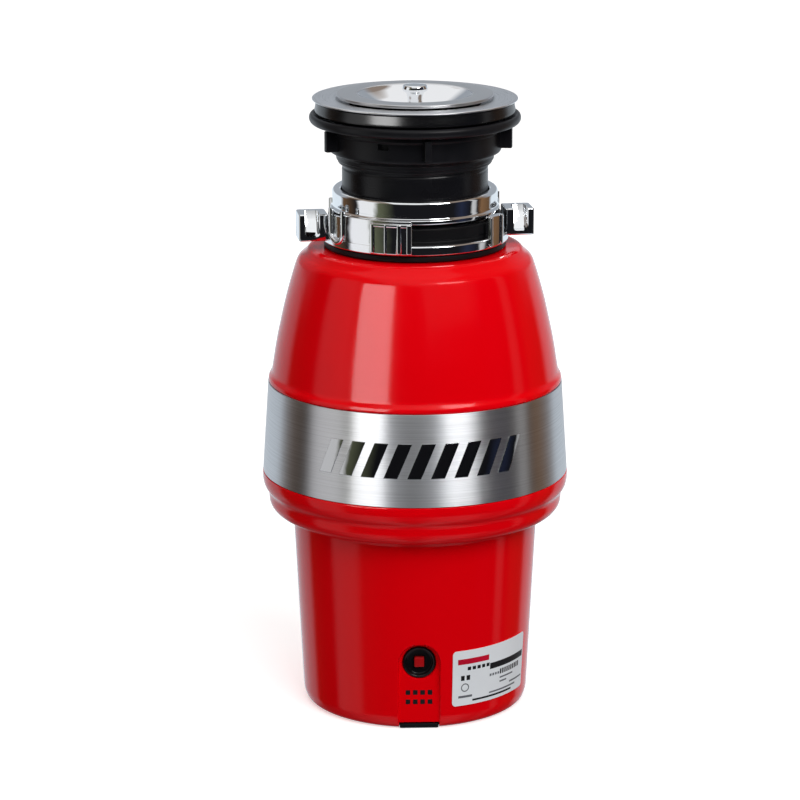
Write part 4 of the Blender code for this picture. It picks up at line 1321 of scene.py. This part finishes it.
class DISPOSER_OT_studio(Maker, bpy.types.Operator):
    """Make the pale floor, the soft lights, the surroundings and the camera"""

    bl_idname = "disposer.studio"
    bl_label = "Studio"

    target_z, distance = 0.1743, 1.9196
    azimuth, elevation = -2.2, 14.6

    def make(self):
        self.make_floor()
        self.make_surroundings()
        key = self.soft_box("key_strip", (-37, 12, 1.3), (0.68, 0.80), 13.0, gloss=True)
        self.light_only(key, "upper_housing_surface", "lower_housing_surface", "sink_gasket_surface")
        side = self.soft_box("side_strip", (-37, 12, 1.4), (0.60, 0.80), 5.0, gloss=True)
        self.light_only(side, "trim_band_surface")
        self.soft_box("low_right", (36, 40, 1.6), (0.62, 0.30), 12.0, gloss=True)
        self.soft_box("front_fill", (32, 34, 2.6), (2.4, 1.8), 3.7, gloss=False)
        self.make_camera()
        view = bpy.context.scene.view_settings
        view.view_transform = "Standard"
        view.look = "None"

    def spot(self, azimuth, elevation, distance):
        """A place, and the way to it, at this angle to the right of the front and this angle up."""
        a, e = math.radians(azimuth), math.radians(elevation)
        way = Vector((math.sin(a) * math.cos(e), -math.cos(a) * math.cos(e), math.sin(e)))
        return Vector((0, 0, self.target_z)) + way * distance, way

    def soft_box(self, name, where, size, radiance, gloss):
        """A rectangular light aimed at the object, either only for reflections or only for matte light. Its
        power is radiance times pi times its area."""
        light = bpy.data.lights.new(name, "AREA")
        light.shape = "RECTANGLE"
        light.size, light.size_y = size
        light.energy = radiance * math.pi * size[0] * size[1]
        thing = bpy.data.objects.new(name, light)
        bpy.context.scene.collection.objects.link(thing)
        thing.location, way = self.spot(*where)
        thing.rotation_mode = "QUATERNION"
        thing.rotation_quaternion = way.to_track_quat("Z", "Y")
        thing.visible_camera = False
        thing.visible_glossy = gloss
        thing.visible_diffuse = not gloss
        return thing

    def light_only(self, light, *names):
        """Keeps a light's reflection to the pieces with these names."""
        lit = bpy.data.collections.new(f"{light.name}_lights")
        for name in names:
            lit.objects.link(bpy.data.objects[name])
        light.light_linking.receiver_collection = lit

    def make_floor(self):
        """A wide level floor at the object's underside. It gives a little light of its own, and neither
        lights the object nor shows in it."""
        half = 12.0
        ground = cad_box[0].z
        corners = [(x * half, y * half, ground) for x, y in ((-1, -1), (1, -1), (1, 1), (-1, 1))]
        mesh = bpy.data.meshes.new("floor")
        mesh.from_pydata(corners, [], [(0, 1, 2, 3)])
        floor = bpy.data.objects.new("floor", mesh)
        bpy.context.scene.collection.objects.link(floor)
        made, tree, shader = shaded("pale_floor", (0.9, 0.9, 0.9))
        shader.inputs["Roughness"].default_value = 0.9
        shader.inputs["Specular IOR Level"].default_value = 0.0
        shader.inputs["Emission Color"].default_value = (1, 1, 1, 1)
        shader.inputs["Emission Strength"].default_value = 0.5
        mesh.materials.append(made)
        floor.visible_glossy = False
        floor.visible_diffuse = False

    def make_surroundings(self):
        """What the polished pieces reflect, by direction: round the horizon a belt of tones by azimuth, a
        white panel overhead, and a second belt of pale tones below."""
        world = bpy.data.worlds.new("studio")
        bpy.context.scene.world = world
        world.use_nodes = True
        tree = world.node_tree
        way = grow(tree, "SeparateXYZ", {0: grow(tree, "TexCoord").outputs["Generated"]})
        x, y, z = (way.outputs[axis] for axis in "XYZ")
        azimuth = math_node(tree, "ARCTAN2", x, math_node(tree, "MULTIPLY", y, -1.0))
        share = math_node(tree, "MULTIPLY_ADD", azimuth, 1 / math.tau, 0.5)
        pale, brown, dark = (0.80, 0.88, 0.95), (0.13, 0.075, 0.04), (0.010, 0.010, 0.012)
        stops = [
            (-128, pale), (-121, brown), (-92, dark), (-86, (0.9, 0.9, 0.92)),
            (-62, (0.9, 0.9, 0.9)), (-55, (0.12, 0.13, 0.08)), (-30, dark), (52, dark),
            (66, (0.02, 0.025, 0.05)), (82, dark), (85, (0.6, 0.6, 0.6)), (91, (0.5, 0.5, 0.5)),
            (95, dark), (104, (0.22, 0.12, 0.06)), (124, brown), (131, pale),
        ]
        belt = self.tone_ramp(tree, share, stops)
        behind = math_node(tree, "MULTIPLY", between(tree, y, 0, 1, 0.3, 0.6),
                           between(tree, z, 0, 1, 0.0, 0.1))
        low_belt = blend_colour(tree, behind, belt, (0.36, 0.39, 0.43))
        sideways = math_node(tree, "ABSOLUTE", math_node(tree, "ADD", x, 0.05))
        panel = blend_colour(tree, between(tree, sideways, 0, 1, 0.40, 0.48), (1.0, 1.0, 1.0),
                             (0.30, 0.24, 0.20))
        overhead = between(tree, z, 0, 1, 0.42, 0.62)
        underneath = between(tree, z, 1, 0, -0.56, -0.46)
        cards = [(degrees, (0.9 * grey, 0.93 * grey, 1.0 * grey)) for degrees, grey in (
            (-130, 0.22), (-118, 0.10), (-100, 0.14), (-84, 0.30), (-72, 0.60), (-58, 0.55), (-50, 0.90),
            (-28, 0.95), (-14, 0.25), (-2, 0.20), (8, 0.40), (18, 0.90), (45, 1.0), (56, 0.50), (70, 0.16),
            (82, 0.45), (92, 0.08), (120, 0.10), (150, 0.30))]
        with_sky = blend_colour(tree, overhead, low_belt, panel)
        tone = blend_colour(tree, underneath, with_sky, self.tone_ramp(tree, share, cards))
        background = tree.nodes["Background"]
        tree.links.new(tone, background.inputs["Color"])
        background.inputs["Strength"].default_value = 1.0

    def tone_ramp(self, tree, share, stops):
        """Tones by azimuth in degrees, the same at both ends of the turn."""
        ramp = grow(tree, "ValToRGB", {"Fac": share})
        points = ramp.color_ramp.elements
        points[0].color = points[1].color = (*stops[0][1], 1)
        for degrees, tone in stops:
            points.new(degrees / 360 + 0.5).color = (*tone, 1)
        return ramp.outputs["Color"]

    def make_camera(self):
        lens = bpy.data.cameras.new("camera")
        lens.lens, lens.sensor_width = 153, 36
        lens.shift_x = -0.01875
        camera = bpy.data.objects.new("camera", lens)
        bpy.context.scene.collection.objects.link(camera)
        camera.location, way = self.spot(self.azimuth, self.elevation, self.distance)
        camera.rotation_euler = way.to_track_quat("Z", "Y").to_euler()
        bpy.context.scene.camera = camera


OPERATORS = (
    DISPOSER_OT_stopper, DISPOSER_OT_sink_mount, DISPOSER_OT_neck, DISPOSER_OT_crown, DISPOSER_OT_cushion,
    DISPOSER_OT_upper_housing, DISPOSER_OT_lower_housing, DISPOSER_OT_trim_band, DISPOSER_OT_label,
    DISPOSER_OT_reset, DISPOSER_OT_base, DISPOSER_OT_discharge, DISPOSER_OT_inner_finishes,
    DISPOSER_OT_studio,
)


class DISPOSER_PT_panel(bpy.types.Panel):
    """Lists the disposer's sizes, colours and pieces in the 3D view's sidebar"""

    bl_idname = "DISPOSER_PT_panel"
    bl_label = "Food-waste disposer"
    bl_space_type = "VIEW_3D"
    bl_region_type = "UI"
    bl_category = "Disposer"

    def draw(self, context):
        for group in (context.scene.disposer_sizes, context.scene.disposer_colours):
            box = self.layout.box()
            for name in group.__annotations__:
                box.prop(group, name)
        for operator in OPERATORS:
            self.layout.operator(operator.bl_idname)


CLASSES = (DisposerSizes, DisposerColours, *OPERATORS, DISPOSER_PT_panel)


def register():
    for cls in CLASSES:
        bpy.utils.register_class(cls)
    bpy.types.Scene.disposer_sizes = PointerProperty(type=DisposerSizes)
    bpy.types.Scene.disposer_colours = PointerProperty(type=DisposerColours)


def unregister():
    del bpy.types.Scene.disposer_colours
    del bpy.types.Scene.disposer_sizes
    for cls in reversed(CLASSES):
        bpy.utils.unregister_class(cls)


def main():
    register()
    for operator in OPERATORS:
        group, name = operator.bl_idname.split(".")
        getattr(getattr(bpy.ops, group), name)()


if __name__ == "__main__":
    main()
